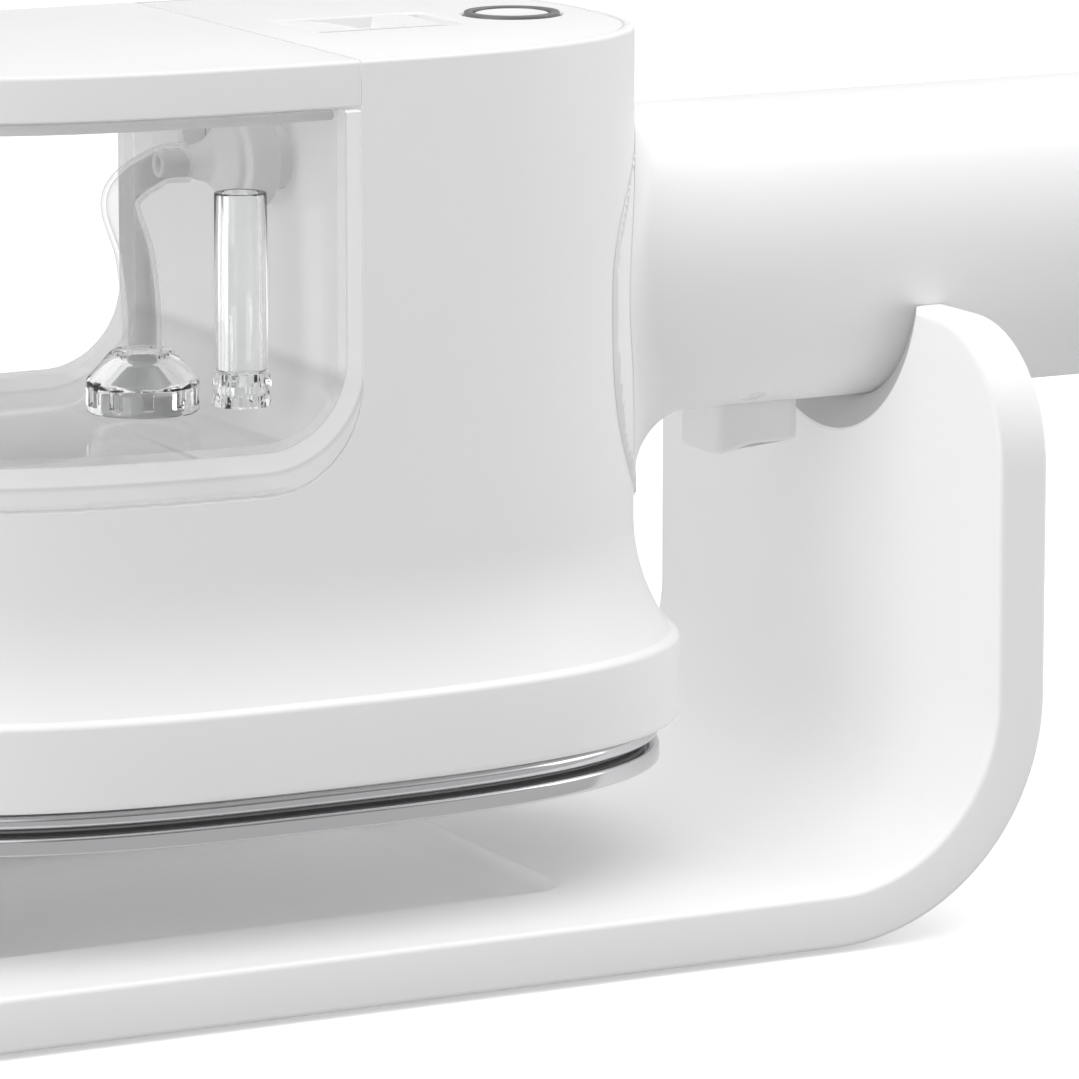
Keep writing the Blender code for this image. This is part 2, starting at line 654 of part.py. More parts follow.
def heat_shield():
    plate = rings_solid([plan_ring(-WALL - 1.5, z) for z in (SHIELD_LOW, SHIELD_HIGH)])
    hose_hole = turned([(4.5, -4), (4.5, 4)], (*PUMP_AT, SHIELD_LOW), steps=14)
    wire_hole = upright_corner_block((-12.0, 8.0, 44.0), (-2.0, 20.0, 56.0), 2.0, segments=2)
    screw_holes = [turned([(1.9, -4), (1.9, 4)], (x, y, SHIELD_LOW), steps=10) for x, y in SHIELD_SCREWS]
    piece("heat_shield", plate, "light_grey", "steamer", cuts=[hose_hole, wire_hole, joined(screw_holes)])
    profile = [(1.5, CHAMBER_TOP + GAP), (1.5, SHIELD_HIGH + GAP), (3.2, SHIELD_HIGH + GAP),
               (3.2, SHIELD_HIGH + 1.8)]
    for number, (x, y) in enumerate(SHIELD_SCREWS, start=1):
        screw = turned(profile, (x, y, 0), steps=10)
        piece("shield_screw_%d" % number, screw, "steel", "steamer")


# ---------------------------------------------------------------- pump and hoses
def pump():
    x, y = PUMP_AT
    core = [(2.3, 60.0), (2.3, 64.0), (5.0, 64.0), (5.0, 68.0), (8.0, 68.0), (8.0, 96.0), (6.0, 97.0),
            (6.0, 108.5), (3.0, 109.5)]
    body_solid = turned(core, (x, y, 0), steps=20)
    spigot = turned([(2.3, -14.0), (2.3, 0.0)], (x, y, PORT_Z), "X", steps=12)
    whole = piece("pump_body", body_solid, "black", "steamer")
    helper = to_object("pump_spigot", spigot, (0, 0, 0))
    helper.hide_render = True
    helper.display_type = "WIRE"
    add_boolean(whole, helper, "UNION")
    hang(helper, "steamer")
    winding = tube_wall(12.5, 8.0 + GAP, 71.0, 93.0, (x, y, 0), steps=24)
    piece("pump_coil", winding, "copper", "steamer")
    for side, low in (("lower", 68.3), ("upper", 93.4)):
        collar = tube_wall(10.0, 8.0 + GAP, low, low + 2.2, (x, y, 0), steps=20)
        piece("pump_mount_" + side, collar, "grey_silicone", "steamer")
    foot, back, face = SHIELD_HIGH + GAP, x + 15.3, x + 13.0
    outline = [(x + 6.0, foot), (x + 17.0, foot), (x + 17.0, foot + 1.7), (back, foot + 1.7),
               (back, 98.0), (face, 98.0), (face, foot + 1.7), (x + 6.0, foot + 1.7)]
    piece("pump_bracket", prism_y(outline, y - 4.0, y + 4.0), "light_grey", "steamer")
    hose = tube_wall(3.9, 2.3 + GAP, CHAMBER_TOP + 4.6, 63.0, (x, y, 0), steps=12)
    piece("outlet_hose", hose, "grey_silicone", "steamer")
    feed = tube_wall(3.9, 2.3 + GAP, -35.4, -21.0, (0, y, PORT_Z), "X", steps=12)
    piece("inlet_hose", feed, "grey_silicone", "steamer")


def tank_socket():
    face = PART_X + GAP / 2
    at = (0, PORT_Y, PORT_Z)
    profile = [(6.7, face + 0.2), (6.7, face + 2.6), (8.6, face + 2.6), (8.6, face + 4.6), (2.3, face + 5.6),
               (2.3, face + 10.0), (1.2, face + 10.0), (1.2, face + 5.0), (5.0, face + 5.0),
               (5.0, face + 0.2)]
    piece("tank_socket", turned(profile, at, "X", hollow=True), "light_grey", "steamer")
    seal = tube_wall(4.7, 3.3, face + 2.6, face + 4.4, at, "X", steps=20)
    piece("socket_seal", seal, "dark", "steamer")


# ---------------------------------------------------------------- tank
def tank_shell():
    face = PART_X - GAP / 2
    floor = DECK_TOP + GAP
    radius = BAY_CORNER
    outer_z = corner_heights(floor, radius) + [TANK_TOP]
    rings = [front_ring(-0.5 if z == floor else 0.0, z, bay_limit(z, floor, radius, face)) for z in outer_z]
    inner_radius = radius - TANK_WALL
    inner_z = corner_heights(TANK_FLOOR, inner_radius, 4) + [TANK_TOP]
    inner_face = face - TANK_WALL
    inner = []
    for z in inner_z:
        inset = -TANK_WALL - max(0.0, 1.5 - (z - TANK_FLOOR))
        inner.append(front_ring(inset, z, bay_limit(z, TANK_FLOOR, inner_radius, inner_face)))
    port = turned([(4.3, -5), (4.3, 5)], (inner_face, PORT_Y, PORT_Z), "X", steps=20)
    filler = turned([(5.0, -5), (5.0, 5)], (inner_face, FILLER_Y, PORT_Z), "X", steps=20)
    piece("tank_shell", rings_solid(rings + inner[::-1]), "clear", "tank", cuts=[port, filler])


def tank_lid():
    face = PART_X - GAP / 2
    steps = [(-5.0, 113.0, face - 5.0), (-5.0, LID_BOTTOM, face - 5.0), (0.0, LID_BOTTOM, face),
             (0.0, HEAD_TOP - EDGE, face), (-EDGE, HEAD_TOP, face)]
    piece("tank_lid", rings_solid([front_ring(*step) for step in steps]), "white", "tank")
    band = [(-2.6, 113.2, face - 2.6), (-2.6, 114.6, face - 2.6), (-4.7, 114.6, face - 4.7),
            (-4.7, 113.2, face - 4.7)]
    gasket = rings_solid([front_ring(*step) for step in band], loop=True)
    piece("lid_gasket", gasket, "grey_silicone", "tank")


def tank_fittings():
    face = PART_X - GAP / 2
    inner = face - TANK_WALL
    at = (0, PORT_Y, PORT_Z)
    collar = [(3.0, face + 3.4), (3.0, face + 0.1), (4.0, face), (4.0, inner - GAP), (6.5, inner - GAP),
              (6.5, inner - 4.5), (5.0, inner - 4.5), (5.0, inner - 6.0), (1.8, inner - 7.5), (1.8, inner - 15.0),
              (1.0, inner - 15.0), (1.0, face + 3.4)]
    piece("outlet_coupling", turned(collar[::-1], at, "X", hollow=True, steps=24), "grey_silicone", "tank")

    plug = [(4.7, inner - 3.5), (4.7, face - 0.9), (4.9, face - 0.9), (4.9, face)]
    stem = turned(plug, (0, FILLER_Y, PORT_Z), "X", steps=20)
    piece("filler_plug", stem, "grey_silicone", "tank")

    x, y = FILTER_AT
    tip = inner - 11.0
    knots = [(tip, PORT_Y, PORT_Z), (tip - 4.0, PORT_Y, PORT_Z - 0.4), (x - 4.5, PORT_Y + 1.0, 101.5),
             (x - 2.0, PORT_Y + 2.5, 94.0), (x, y, 86.0), (x, y, 81.2)]
    hose = swept(smooth_path(knots, 4), 2.6, sides=8)
    sleeve = turned([(1.8 + GAP, -6.0), (1.8 + GAP, 8.0)], (tip - 0.5, PORT_Y, PORT_Z), "X", steps=12)
    piece("suction_tube", hose, "clear", "tank", cuts=[sleeve])
    cage = [(7.4, 72.9), (7.4, 77.0), (4.0, 80.9), (2.4, 80.9), (2.4, 79.0), (6.2, 76.0), (6.2, 72.9)]
    piece("suction_filter", turned(cage, (x, y, 0), hollow=True, steps=20), "clear", "tank")
    weight = turned([(5.4, 73.1), (5.4, 75.6), (2.0, 78.4)], (x, y, 0), steps=16)
    piece("filter_weight", weight, "dark", "tank")

    x, y = VENT_AT
    vent = tube_wall(3.4, 2.3, 80.0, 103.0, (x, y, 0), steps=16)
    piece("vent_tube", vent, "clear", "tank")
    foot = tube_wall(3.9, 2.4, 75.4, 79.7, (x, y, 0), steps=12)
    piece("vent_base", foot, "clear", "tank")


# ---------------------------------------------------------------- assembly
for stale in list(bpy.data.objects):
    bpy.data.objects.remove(stale, do_unlink=True)

body("stand")
body("steamer", (0, 0, GRIP_Z))
body("trigger", (31.2, 0, 71.6))
body("power_button", (BUTTON_X, 0, HEAD_TOP - 1.0))
body("release_latch", (LATCH_X[0], 0, HEAD_TOP - 3.4))
body("tank", (PART_X, 0, PORT_Z))

stand_plate()
stand_feet()
nose_rest()
head_shell()
top_cover()
handle_shell()
indicator_lens()
handle_end_cap()
cord_gland()
handle_chassis()
control_board()
trigger_parts()
power_button()
release_latch()
sole_stack()
steam_chamber()
heat_shield()
pump()
tank_socket()
tank_shell()
tank_lid()
tank_fittings()
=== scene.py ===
"""Hand-held fabric steamer with a front water tank, parked on its bent stand.

Lengths are in millimetres; MM turns them into metres when a mesh is made.
+X runs from the nose of the head to the end of the handle, +Z is up.
"""
import math

import bmesh
import bpy
from mathutils import Matrix, Vector


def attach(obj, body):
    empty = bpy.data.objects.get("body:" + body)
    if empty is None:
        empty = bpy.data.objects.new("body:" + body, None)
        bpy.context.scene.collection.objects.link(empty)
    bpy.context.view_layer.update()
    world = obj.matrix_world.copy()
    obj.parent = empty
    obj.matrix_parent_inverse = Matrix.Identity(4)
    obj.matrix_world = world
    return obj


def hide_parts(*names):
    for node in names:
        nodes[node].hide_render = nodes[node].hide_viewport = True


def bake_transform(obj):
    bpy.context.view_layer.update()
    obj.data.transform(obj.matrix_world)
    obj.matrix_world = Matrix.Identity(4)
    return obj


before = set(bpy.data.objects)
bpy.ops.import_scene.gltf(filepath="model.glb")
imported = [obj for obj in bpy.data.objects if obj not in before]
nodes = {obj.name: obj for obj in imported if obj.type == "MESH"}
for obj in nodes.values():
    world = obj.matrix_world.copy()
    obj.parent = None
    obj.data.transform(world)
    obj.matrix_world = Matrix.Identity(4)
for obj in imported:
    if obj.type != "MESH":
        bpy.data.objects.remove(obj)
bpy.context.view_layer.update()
MM = 0.001


# ---------------------------------------------------------------- camera
# A long lens, a little above the table, looking along the head from its nose side.
CAMERA_AT = (-435.9, -852.9, 234.8)
CAMERA_DOWN = 10.955           # degrees below the horizon
CAMERA_TURN = -27.1


def placed(name, data):
    """A new object in the scene."""
    obj = bpy.data.objects.new(name, data)
    bpy.context.collection.objects.link(obj)
    return obj


camera = placed("camera", bpy.data.cameras.new("camera"))
camera.location = Vector(CAMERA_AT) * MM
camera.rotation_euler = (math.radians(90 - CAMERA_DOWN), 0, math.radians(CAMERA_TURN))
camera.data.sensor_width = 36.0
camera.data.lens = 240.74
camera.data.clip_start = 0.05
camera.data.clip_end = 20.0
bpy.context.scene.camera = camera


# ---------------------------------------------------------------- shader expressions
# Every finish below is written as sums of Value objects. The tools for it stand here because
# the floor is the first thing that needs them.
class Value:
    """A socket of a node tree that can be used in sums: an operator adds its Math node."""

    def __init__(self, tree, socket=None):
        self.tree = tree
        self.socket = socket

    def node(self, kind, settings, sockets, output=0):
        """Add any node: its kind, its settings, what goes in its sockets, and which output."""
        made = self.tree.nodes.new("ShaderNode" + kind)
        for name, setting in settings.items():
            if name == "stops":
                for place, shade in setting:
                    stop = made.color_ramp.elements.new(place)
                    stop.color = (shade, shade, shade, 1)
                made.color_ramp.elements.remove(made.color_ramp.elements[0])
                made.color_ramp.elements.remove(made.color_ramp.elements[-1])
            else:
                setattr(made, name, setting)
        for name, content in sockets.items():
            if isinstance(content, Value):
                self.tree.links.new(content.socket, made.inputs[name])
            else:
                made.inputs[name].default_value = content
        return Value(self.tree, made.outputs[output])

    def math(self, operation, first, second=0.0):
        return self.node("Math", {"operation": operation}, {0: first, 1: second})

    def __add__(self, other):
        return self.math("ADD", self, other)

    def __sub__(self, other):
        return self.math("SUBTRACT", self, other)

    def __rsub__(self, other):
        return self.math("SUBTRACT", other, self)

    def __mul__(self, other):
        return self.math("MULTIPLY", self, other)

    def __pow__(self, other):
        return self.math("POWER", self, other)

    __radd__ = __add__
    __rmul__ = __mul__

    def place(self, kind="Object"):
        return self.node("TexCoord", {}, {}, kind)

    def along(self, axis, at):
        """One of the three numbers of a place or a direction."""
        return self.node("SeparateXYZ", {}, {0: at}, axis)

    def looked_at(self):
        """1 for rays that show a thing, straight or through clear plastic, and 0 for the rest."""
        straight = self.node("LightPath", {}, {}, "Is Camera Ray")
        return straight + self.node("LightPath", {}, {}, "Is Transmission Ray")

    def noise(self, scale, detail=3.0, at=None):
        """Cloudy values from 0 to 1; scale is in cells to the metre."""
        return self.node("TexNoise", {}, {"Vector": at or self.place(), "Scale": scale, "Detail": detail})

    def stretched(self, scale):
        """Object coordinates, scaled differently along each axis."""
        return self.node("Mapping", {}, {"Vector": self.place(), "Scale": scale})

    def blend(self, share, first, second):
        """A colour between two colours."""
        return self.node("Mix", {"data_type": "RGBA"}, {"Factor": share, 6: first, 7: second}, 2)

    def bump(self, height, depth, strength, normal=None):
        """Relief of a height from 0 to 1, depth millimetres deep."""
        sockets = {"Height": height, "Distance": depth * MM, "Strength": strength}
        if normal:
            sockets["Normal"] = normal
        return self.node("Bump", {}, sockets)


def new_material(name, constants):
    """A material whose fixed values are set, and a Value to build the rest of it with."""
    material = bpy.data.materials.new(name)
    material.use_nodes = True
    shader = material.node_tree.nodes["Principled BSDF"]
    for socket, amount in constants.items():
        shader.inputs[socket].default_value = amount
    return material, shader, Value(material.node_tree)


def feed(material, shader, **links):
    """Link values to the shader's sockets; an underscore in a name stands for a space."""
    for name, value in links.items():
        material.node_tree.links.new(value.socket, shader.inputs[name.replace("_", " ")])
    return material


# ---------------------------------------------------------------- studio
# A plain pale floor, a white surround, a wide soft light from above and a large soft box low on
# each side. Two weak fills without shadows lift what lies under the head and behind the tank.
# In mirrors the surround is darker low down, and has a dark screen to the right of the middle.
HALF_FLOOR = 4.0
MIRROR_HEIGHTS = ((0.0, 0.30), (0.12, 0.34), (0.34, 0.95), (0.7, 1.0))
MIRROR_SCREENS = ((0.0, 1.0), (0.34, 1.0), (0.44, 0.42), (0.7, 0.42), (0.84, 1.0))
world = bpy.data.worlds.new("studio")
bpy.context.scene.world = world
world.use_nodes = True
surround = world.node_tree
surround.nodes.clear()
sky = Value(surround)
direction = sky.place("Generated")
toward_right, toward_back, height = [sky.along(axis, direction) for axis in range(3)]
level = 0.38 + 0.08 * height + 0.06 * toward_back + 0.05 * toward_right
mirrored = sky.node("ValToRGB", {"stops": MIRROR_HEIGHTS}, {0: height})
glossy = sky.node("LightPath", {}, {}, "Is Glossy Ray")
screens = sky.node("ValToRGB", {"stops": MIRROR_SCREENS}, {0: 0.5 + 0.5 * toward_right})
level = level * (1 - glossy) + glossy * 1.25 * mirrored * screens
shown = sky.node("Background", {}, {"Color": (1, 1, 1, 1), "Strength": 1.02})
lit = sky.node("Background", {}, {"Color": (1, 1, 1, 1), "Strength": level})
mixed = sky.node("MixShader", {}, {0: sky.looked_at(), 1: lit, 2: shown})
output = surround.nodes.new("ShaderNodeOutputWorld")
surround.links.new(mixed.socket, output.inputs[0])
bpy.context.scene.view_settings.view_transform = "Standard"


def light(name, kind, toward, power):
    lamp = placed(name, bpy.data.lights.new(name, kind))
    lamp.data.energy = power
    lamp.rotation_euler = Vector(toward).to_track_quat("-Z", "Y").to_euler()
    return lamp


def soft_light(name, at, size, power):
    """A square soft box, its place and size in metres, that faces the object."""
    lamp = light(name, "AREA", Vector((0, 0, 0.06)) - Vector(at), power)
    lamp.data.shape = "SQUARE"
    lamp.data.size = size
    lamp.location = at


def wide_light(name, toward, power, spread, shadow=True):
    """Parallel light with a direction and a spread in degrees."""
    lamp = light(name, "SUN", toward, power)
    lamp.data.angle = math.radians(spread)
    lamp.data.use_shadow = shadow


soft_light("handle_side", (1.35, -0.55, 0.50), 0.9, 4.8)
soft_light("nose_side", (-1.38, -0.60, 0.26), 0.8, 5.0)
wide_light("ceiling", (0.05, 0.08, -1.0), 1.45, 75)
wide_light("fill_down", (-0.6, 0.0, -1.0), 0.70, 20, shadow=False)
wide_light("fill_along", (1.0, 0.1, -0.05), 0.50, 20, shadow=False)

floor_mesh = bpy.data.meshes.new("floor")
floor_corners = [(x * HALF_FLOOR, y * HALF_FLOOR, 0) for x, y in ((-1, -1), (1, -1), (1, 1), (-1, 1))]
floor_mesh.from_pydata(floor_corners, [], [(0, 1, 2, 3)])
floor = placed("floor", floor_mesh)
floor_paint, floor_shader, of_floor = new_material("floor", {"Roughness": 0.9, "Specular IOR Level": 0.1,
                                                               "Emission Strength": 0.16})
seen = of_floor.looked_at()
mottle = of_floor.noise(3.0)
pale = of_floor.blend(mottle, (0.97, 0.97, 0.97, 1), (1.0, 1.0, 1.0, 1))
feed(floor_paint, floor_shader, Base_Color=of_floor.blend(seen, (0.52, 0.52, 0.52, 1), pale),
     Emission_Color=of_floor.blend(seen, (0, 0, 0, 1), (1, 1, 1, 1)))
floor_mesh.materials.append(floor_paint)


# ---------------------------------------------------------------- bent stand
# One thick plate of white moulded plastic, bent up at the handle end. The handle lies in the
# cradle of its upright, whose chamfered edge and bore are painted grey as the shade under the
# handle, and the hot plate stands over a shallow pocket in the base.
GAP = 0.3
STAND_WIDTH = 95.4
STAND_LEFT = -118.5
PLATE = 7.3
FOOT_PROUD = 0.8
PLATE_TOP = FOOT_PROUD + PLATE
UPRIGHT_X = 44.5               # inner face of the upright
UPRIGHT_TOP = 80.8
BEND_INSIDE = 24.0
BEND = BEND_INSIDE + PLATE / 2 # radius of the bend at mid thickness
STRAIGHT = UPRIGHT_X - BEND_INSIDE - STAND_LEFT
CURVED = BEND * math.pi / 2
STAND_CORNER = 18.0
STAND_EDGE = 0.8
GRIP_Z = 86.9                  # axis of the handle, and of the cradle
GRIP = 21.0
CRADLE = GRIP + 0.08           # a hair wider than the handle
CRADLE_MOUTH = 25.3            # the cradle's radius at its chamfered inner edge
CRADLE_CHAMFER = 3.0
POCKET_X = (-98.5, -8.8)
POCKET_HALF = 28.3
POCKET_DEPTH = 3.9
POCKET_CORNER = 6.0


def arc(count):
    """Sine and cosine at even steps of a quarter turn."""
    turns = [math.pi / 2 * i / count for i in range(count + 1)]
    return [(math.sin(turn), math.cos(turn)) for turn in turns]


def skin(rings, loop=False):
    """Join a chain of equal rings by faces, and close its ends or join them in a loop."""
    bm = bmesh.new()
    rows = [[bm.verts.new(Vector(point)) for point in ring] for ring in rings]
    following = rows[1:] + ([rows[0]] if loop else [])
    for low, high in zip(rows, following):
        for i in range(len(low)):
            j = (i + 1) % len(low)
            bm.faces.new((low[i], low[j], high[j], high[i]))
    if not loop:
        bm.faces.new(rows[0][::-1])
        bm.faces.new(rows[-1])
    bmesh.ops.recalc_face_normals(bm, faces=bm.faces)
    return bm


def rounded(outline, radius, steps, closed=True):
    """An outline with every corner rounded, as far as its edges allow."""
    points = [Vector(p) for p in outline]
    result = []
    for i, corner in enumerate(points):
        if not closed and i in (0, len(points) - 1):
            result.append(tuple(corner))
            continue
        before, after = points[i - 1] - corner, points[(i + 1) % len(points)] - corner
        reach = min(radius, 0.45 * before.length, 0.45 * after.length)
        start, end = corner + before.normalized() * reach, corner + after.normalized() * reach
        for k in range(steps + 1):
            t = k / steps
            result.append(tuple(start * (1 - t) ** 2 + corner * 2 * t * (1 - t) + end * t * t))
    return result


def solid(name, bm, sharp=32):
    """A mesh object in metres, smooth except along edges sharper than so many degrees."""
    bmesh.ops.scale(bm, vec=(MM, MM, MM), verts=bm.verts)
    mesh = bpy.data.meshes.new(name)
    bm.to_mesh(mesh)
    bm.free()
    mesh.shade_smooth()
    mesh.set_sharp_from_angle(angle=math.radians(sharp))
    return placed(name, mesh)


def settle(obj, sharp=32):
    """Make what an object's modifiers show its own mesh."""
    shape = bpy.data.meshes.new_from_object(obj.evaluated_get(bpy.context.evaluated_depsgraph_get()))
    obj.modifiers.clear()
    obj.data = shape
    shape.shade_smooth()
    shape.set_sharp_from_angle(angle=math.radians(sharp))
    return obj


def carve(obj, *cuts, sharp=32):
    """Cut solids out of a piece."""
    cutters = [solid("cutter", cut) for cut in cuts]
    for cutter in cutters:
        modifier = obj.modifiers.new("cut", "BOOLEAN")
        modifier.object = cutter
        modifier.solver = "EXACT"
    settle(obj, sharp)
    for cutter in cutters:
        bpy.data.objects.remove(cutter)
    return obj


def turned(profile, at=(0, 0, 0), axis="Z", hollow=False, steps=64):
    """Turn (radius, height) pairs about an axis through the point at."""
    first, second, along = {"Z": (0, 1, 2), "X": (1, 2, 0)}[axis]
    rings = []
    for radius, height in profile:
        ring = []
        for i in range(steps):
            turn = 2 * math.pi * i / steps
            point = list(at)
            point[first] += radius * math.cos(turn)
            point[second] += radius * math.sin(turn)
            point[along] += height
            ring.append(point)
        rings.append(ring)
    return skin(rings, loop=hollow)


def oblong(low, high, corner, z, steps):
    """A rectangle with round corners, between two (x, y) points at height z."""
    ring = []
    for sign_x, sign_y, start in ((1, 1, 0), (-1, 1, 1), (-1, -1, 2), (1, -1, 3)):
        x = (high[0] - corner) if sign_x > 0 else (low[0] + corner)
        y = (high[1] - corner) if sign_y > 0 else (low[1] + corner)
        for i in range(steps + 1):
            turn = math.pi / 2 * (start + i / steps)
            ring.append((x + corner * math.cos(turn), y + corner * math.sin(turn), z))
    return ring


def shrunk_oblong(low, high, corner, profile, steps=8):
    """Stacked oblongs from (inset, z) pairs."""
    rings = []
    for inset, z in profile:
        small = (low[0] + inset, low[1] + inset)
        large = (high[0] - inset, high[1] - inset)
        rings.append(oblong(small, large, max(0.05, corner - inset), z, steps))
    return skin(rings)


def bent(along, y, rise):
    """Where a point of the flat plate goes when the plate is bent."""
    line = FOOT_PROUD + PLATE / 2
    if along <= STRAIGHT:
        return STAND_LEFT + along, y, line + rise
    turn = min(along - STRAIGHT, CURVED) / BEND
    x = STAND_LEFT + STRAIGHT + (BEND - rise) * math.sin(turn)
    z = line + BEND - (BEND - rise) * math.cos(turn)
    return x, y, z + max(0.0, along - STRAIGHT - CURVED)


def plate_half(inset):
    """(distance along, half width) down the flat plate, with its round corners."""
    half, corner = STAND_WIDTH / 2, STAND_CORNER - inset
    total = STRAIGHT + CURVED + UPRIGHT_TOP - PLATE_TOP - BEND_INSIDE
    ends = [(STAND_CORNER - corner * c, half - STAND_CORNER + corner * s) for s, c in arc(16)]
    middle = [(STRAIGHT + CURVED * i / 48, half - inset) for i in range(49)]
    return ends + middle + [(total - along, wide) for along, wide in reversed(ends)]


def bent_plate():
    """The stand's plate with eased edges, without its cradle and pocket."""
    thick = PLATE / 2
    edge = [(STAND_EDGE * (1 - s), -thick + STAND_EDGE * (1 - c)) for s, c in arc(4)]
    edge += [(inset, -rise) for inset, rise in reversed(edge)]
    bm = bmesh.new()
    rows = []
    for inset, rise in edge:
        side = plate_half(inset)
        ring = [(a, w) for a, w in side] + [(a, -w) for a, w in reversed(side)]
        rows.append([bm.verts.new(bent(a, w, rise)) for a, w in ring])
    count = len(rows[0])
    for low, high in zip(rows, rows[1:]):
        for i in range(count):
            j = (i + 1) % count
            bm.faces.new((low[i], low[j], high[j], high[i]))
    for row in (rows[0], rows[-1]):
        for i in range(count // 2 - 1):
            bm.faces.new((row[i], row[i + 1], row[count - 2 - i], row[count - 1 - i]))
    bmesh.ops.recalc_face_normals(bm, faces=bm.faces)
    return bm


def cradle_cut():
    """A disc through the upright whose inner mouth is chamfered and whose edges are eased."""
    mouth = [(CRADLE_MOUTH + 2.0, -1.0), (CRADLE_MOUTH + 0.5, 0.0), (CRADLE + 0.4, CRADLE_CHAMFER - 0.4),
             (CRADLE, CRADLE_CHAMFER + 1.0), (CRADLE, PLATE - 0.7), (CRADLE + 0.7, PLATE),
             (CRADLE + 1.4, PLATE + 0.7)]
    return turned(rounded(mouth, 0.8, 4, closed=False), (UPRIGHT_X, 0, GRIP_Z), "X", steps=160)


def pocket_cut():
    """A shallow tray whose walls sweep into its floor."""
    sweep = [(POCKET_DEPTH * (1 - c), -POCKET_DEPTH * s) for s, c in arc(12)]
    lip = [(-1.0, 1.0), (-0.25, 0.0), (0.0, -0.25)]
    stack = [(inset, PLATE_TOP + z) for inset, z in lip + [(i, z) for i, z in sweep if z < -0.3]]
    return shrunk_oblong((POCKET_X[0], -POCKET_HALF), (POCKET_X[1], POCKET_HALF), POCKET_CORNER, stack, 12)


def moulded(name, colour, roughness, grain=0.010):
    """Moulded plastic: spark-eroded grain, slow unevenness of shade, faintly rubbed gloss."""
    material, shader, value = new_material(name, {"IOR": 1.49})
    cloud = value.noise(28.0, 2.0)
    rubbed = value.noise(160.0, 4.0)
    darker = tuple(0.965 * c for c in colour)
    base = value.blend(cloud, (*darker, 1), (*colour, 1))
    gloss = roughness - 0.05 + 0.07 * rubbed + 0.03 * cloud
    fine = value.bump(value.noise(5200.0, 2.0), grain, 0.6)
    waves = value.bump(value.noise(55.0, 1.0), 0.02, 0.25, fine)
    return feed(material, shader, Base_Color=base, Roughness=gloss, Normal=waves)


def soft_touch(name, colour, roughness=0.6):
    """Silicone or rubber: almost matt, dusty in patches, with a fine pebbled skin."""
    material, shader, value = new_material(name, {"IOR": 1.42})
    dust = value.noise(90.0, 4.0)
    lighter = tuple(min(1.0, 1.12 * c) for c in colour)
    pebbles = value.bump(value.noise(3000.0, 2.0), 0.02, 0.6)
    gloss = roughness - 0.08 + 0.16 * dust
    return feed(material, shader, Base_Color=value.blend(dust, (*colour, 1), (*lighter, 1)),
                Roughness=gloss, Normal=pebbles)


white_plastic = moulded("white_plastic", (0.89, 0.89, 0.893), 0.44)
stand_plastic = moulded("stand_plastic", (0.93, 0.93, 0.932), 0.52, 0.014)
# Grey painted shade for the cradle's faces, standing in for the shade the handle casts there.
cradle_skin = soft_touch("cradle_skin", (0.50, 0.50, 0.505))
bent_stand = carve(solid("bent_stand", bent_plate()), cradle_cut(), pocket_cut())
bent_stand.data.materials.append(stand_plastic)
bent_stand.data.materials.append(cradle_skin)
# The faces of the cradle's chamfer and bore get the painted shade.
for face in bent_stand.data.polygons:
    away = face.center / MM - Vector((face.center.x / MM, 0, GRIP_Z))
    if away.length < CRADLE_MOUTH + 0.2 and face.normal.dot(away.normalized()) < -0.3:
        face.material_index = 1
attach(bent_stand, "stand")
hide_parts("stand_plate")


# ---------------------------------------------------------------- feet
# Four grey silicone pads pressed into the underside of the stand. They are alike, so one pad
# is scattered to its four places by a node tree.
FOOT_RADIUS = 6.0
FEET = ((-104, -36), (-104, 36), (8, -36), (8, 36))


def shape_tree(name, inputs, parts, links, constants=None):
    """A node tree that builds a shape from its inputs, makes it real and gives it its finish.

    inputs and parts give kinds of sockets and of nodes by name. A link leads from one name and
    output to another name and input. The last of the parts is the finished shape. A constant
    sets one socket of a part.
    """
    tree = bpy.data.node_groups.new(name, "GeometryNodeTree")
    for label, kind in {**inputs, "Finish": "Material"}.items():
        tree.interface.new_socket(label, in_out="INPUT", socket_type="NodeSocket" + kind)
    tree.interface.new_socket("Shape", in_out="OUTPUT", socket_type="NodeSocketGeometry")
    made = {"given": tree.nodes.new("NodeGroupInput"), "result": tree.nodes.new("NodeGroupOutput")}
    for label, kind in {**parts, "real": "RealizeInstances", "paint": "SetMaterial"}.items():
        made[label] = tree.nodes.new("GeometryNode" + kind)
    ending = [(list(parts)[-1], 0, "real", 0), ("real", 0, "paint", "Geometry"),
              ("given", "Finish", "paint", "Material"), ("paint", 0, "result", 0)]
    for source, output, target, socket in links + ending:
        tree.links.new(made[source].outputs[output], made[target].inputs[socket])
    for label, (socket, amount) in (constants or {}).items():
        made[label].inputs[socket].default_value = amount
    return tree


def with_tree(obj, tree, **given):
    """Run a node tree on an object with the given inputs, and keep the result as its mesh."""
    modifier = obj.modifiers.new("tree", "NODES")
    modifier.node_group = tree
    for item in tree.interface.items_tree:
        name = item.name.replace(" ", "_")
        if item.in_out == "INPUT" and name in given:
            modifier[item.identifier] = given[name]
    return settle(obj)


def repeated(name, part, places, finish):
    """Copies of a part, made around its own origin, at places in millimetres."""
    points = bpy.data.meshes.new(name)
    points.from_pydata([Vector(p) * MM for p in places], [], [])
    obj = placed(name, points)
    with_tree(obj, REPEAT, Part=part, Finish=finish)
    bpy.data.objects.remove(part)
    return obj


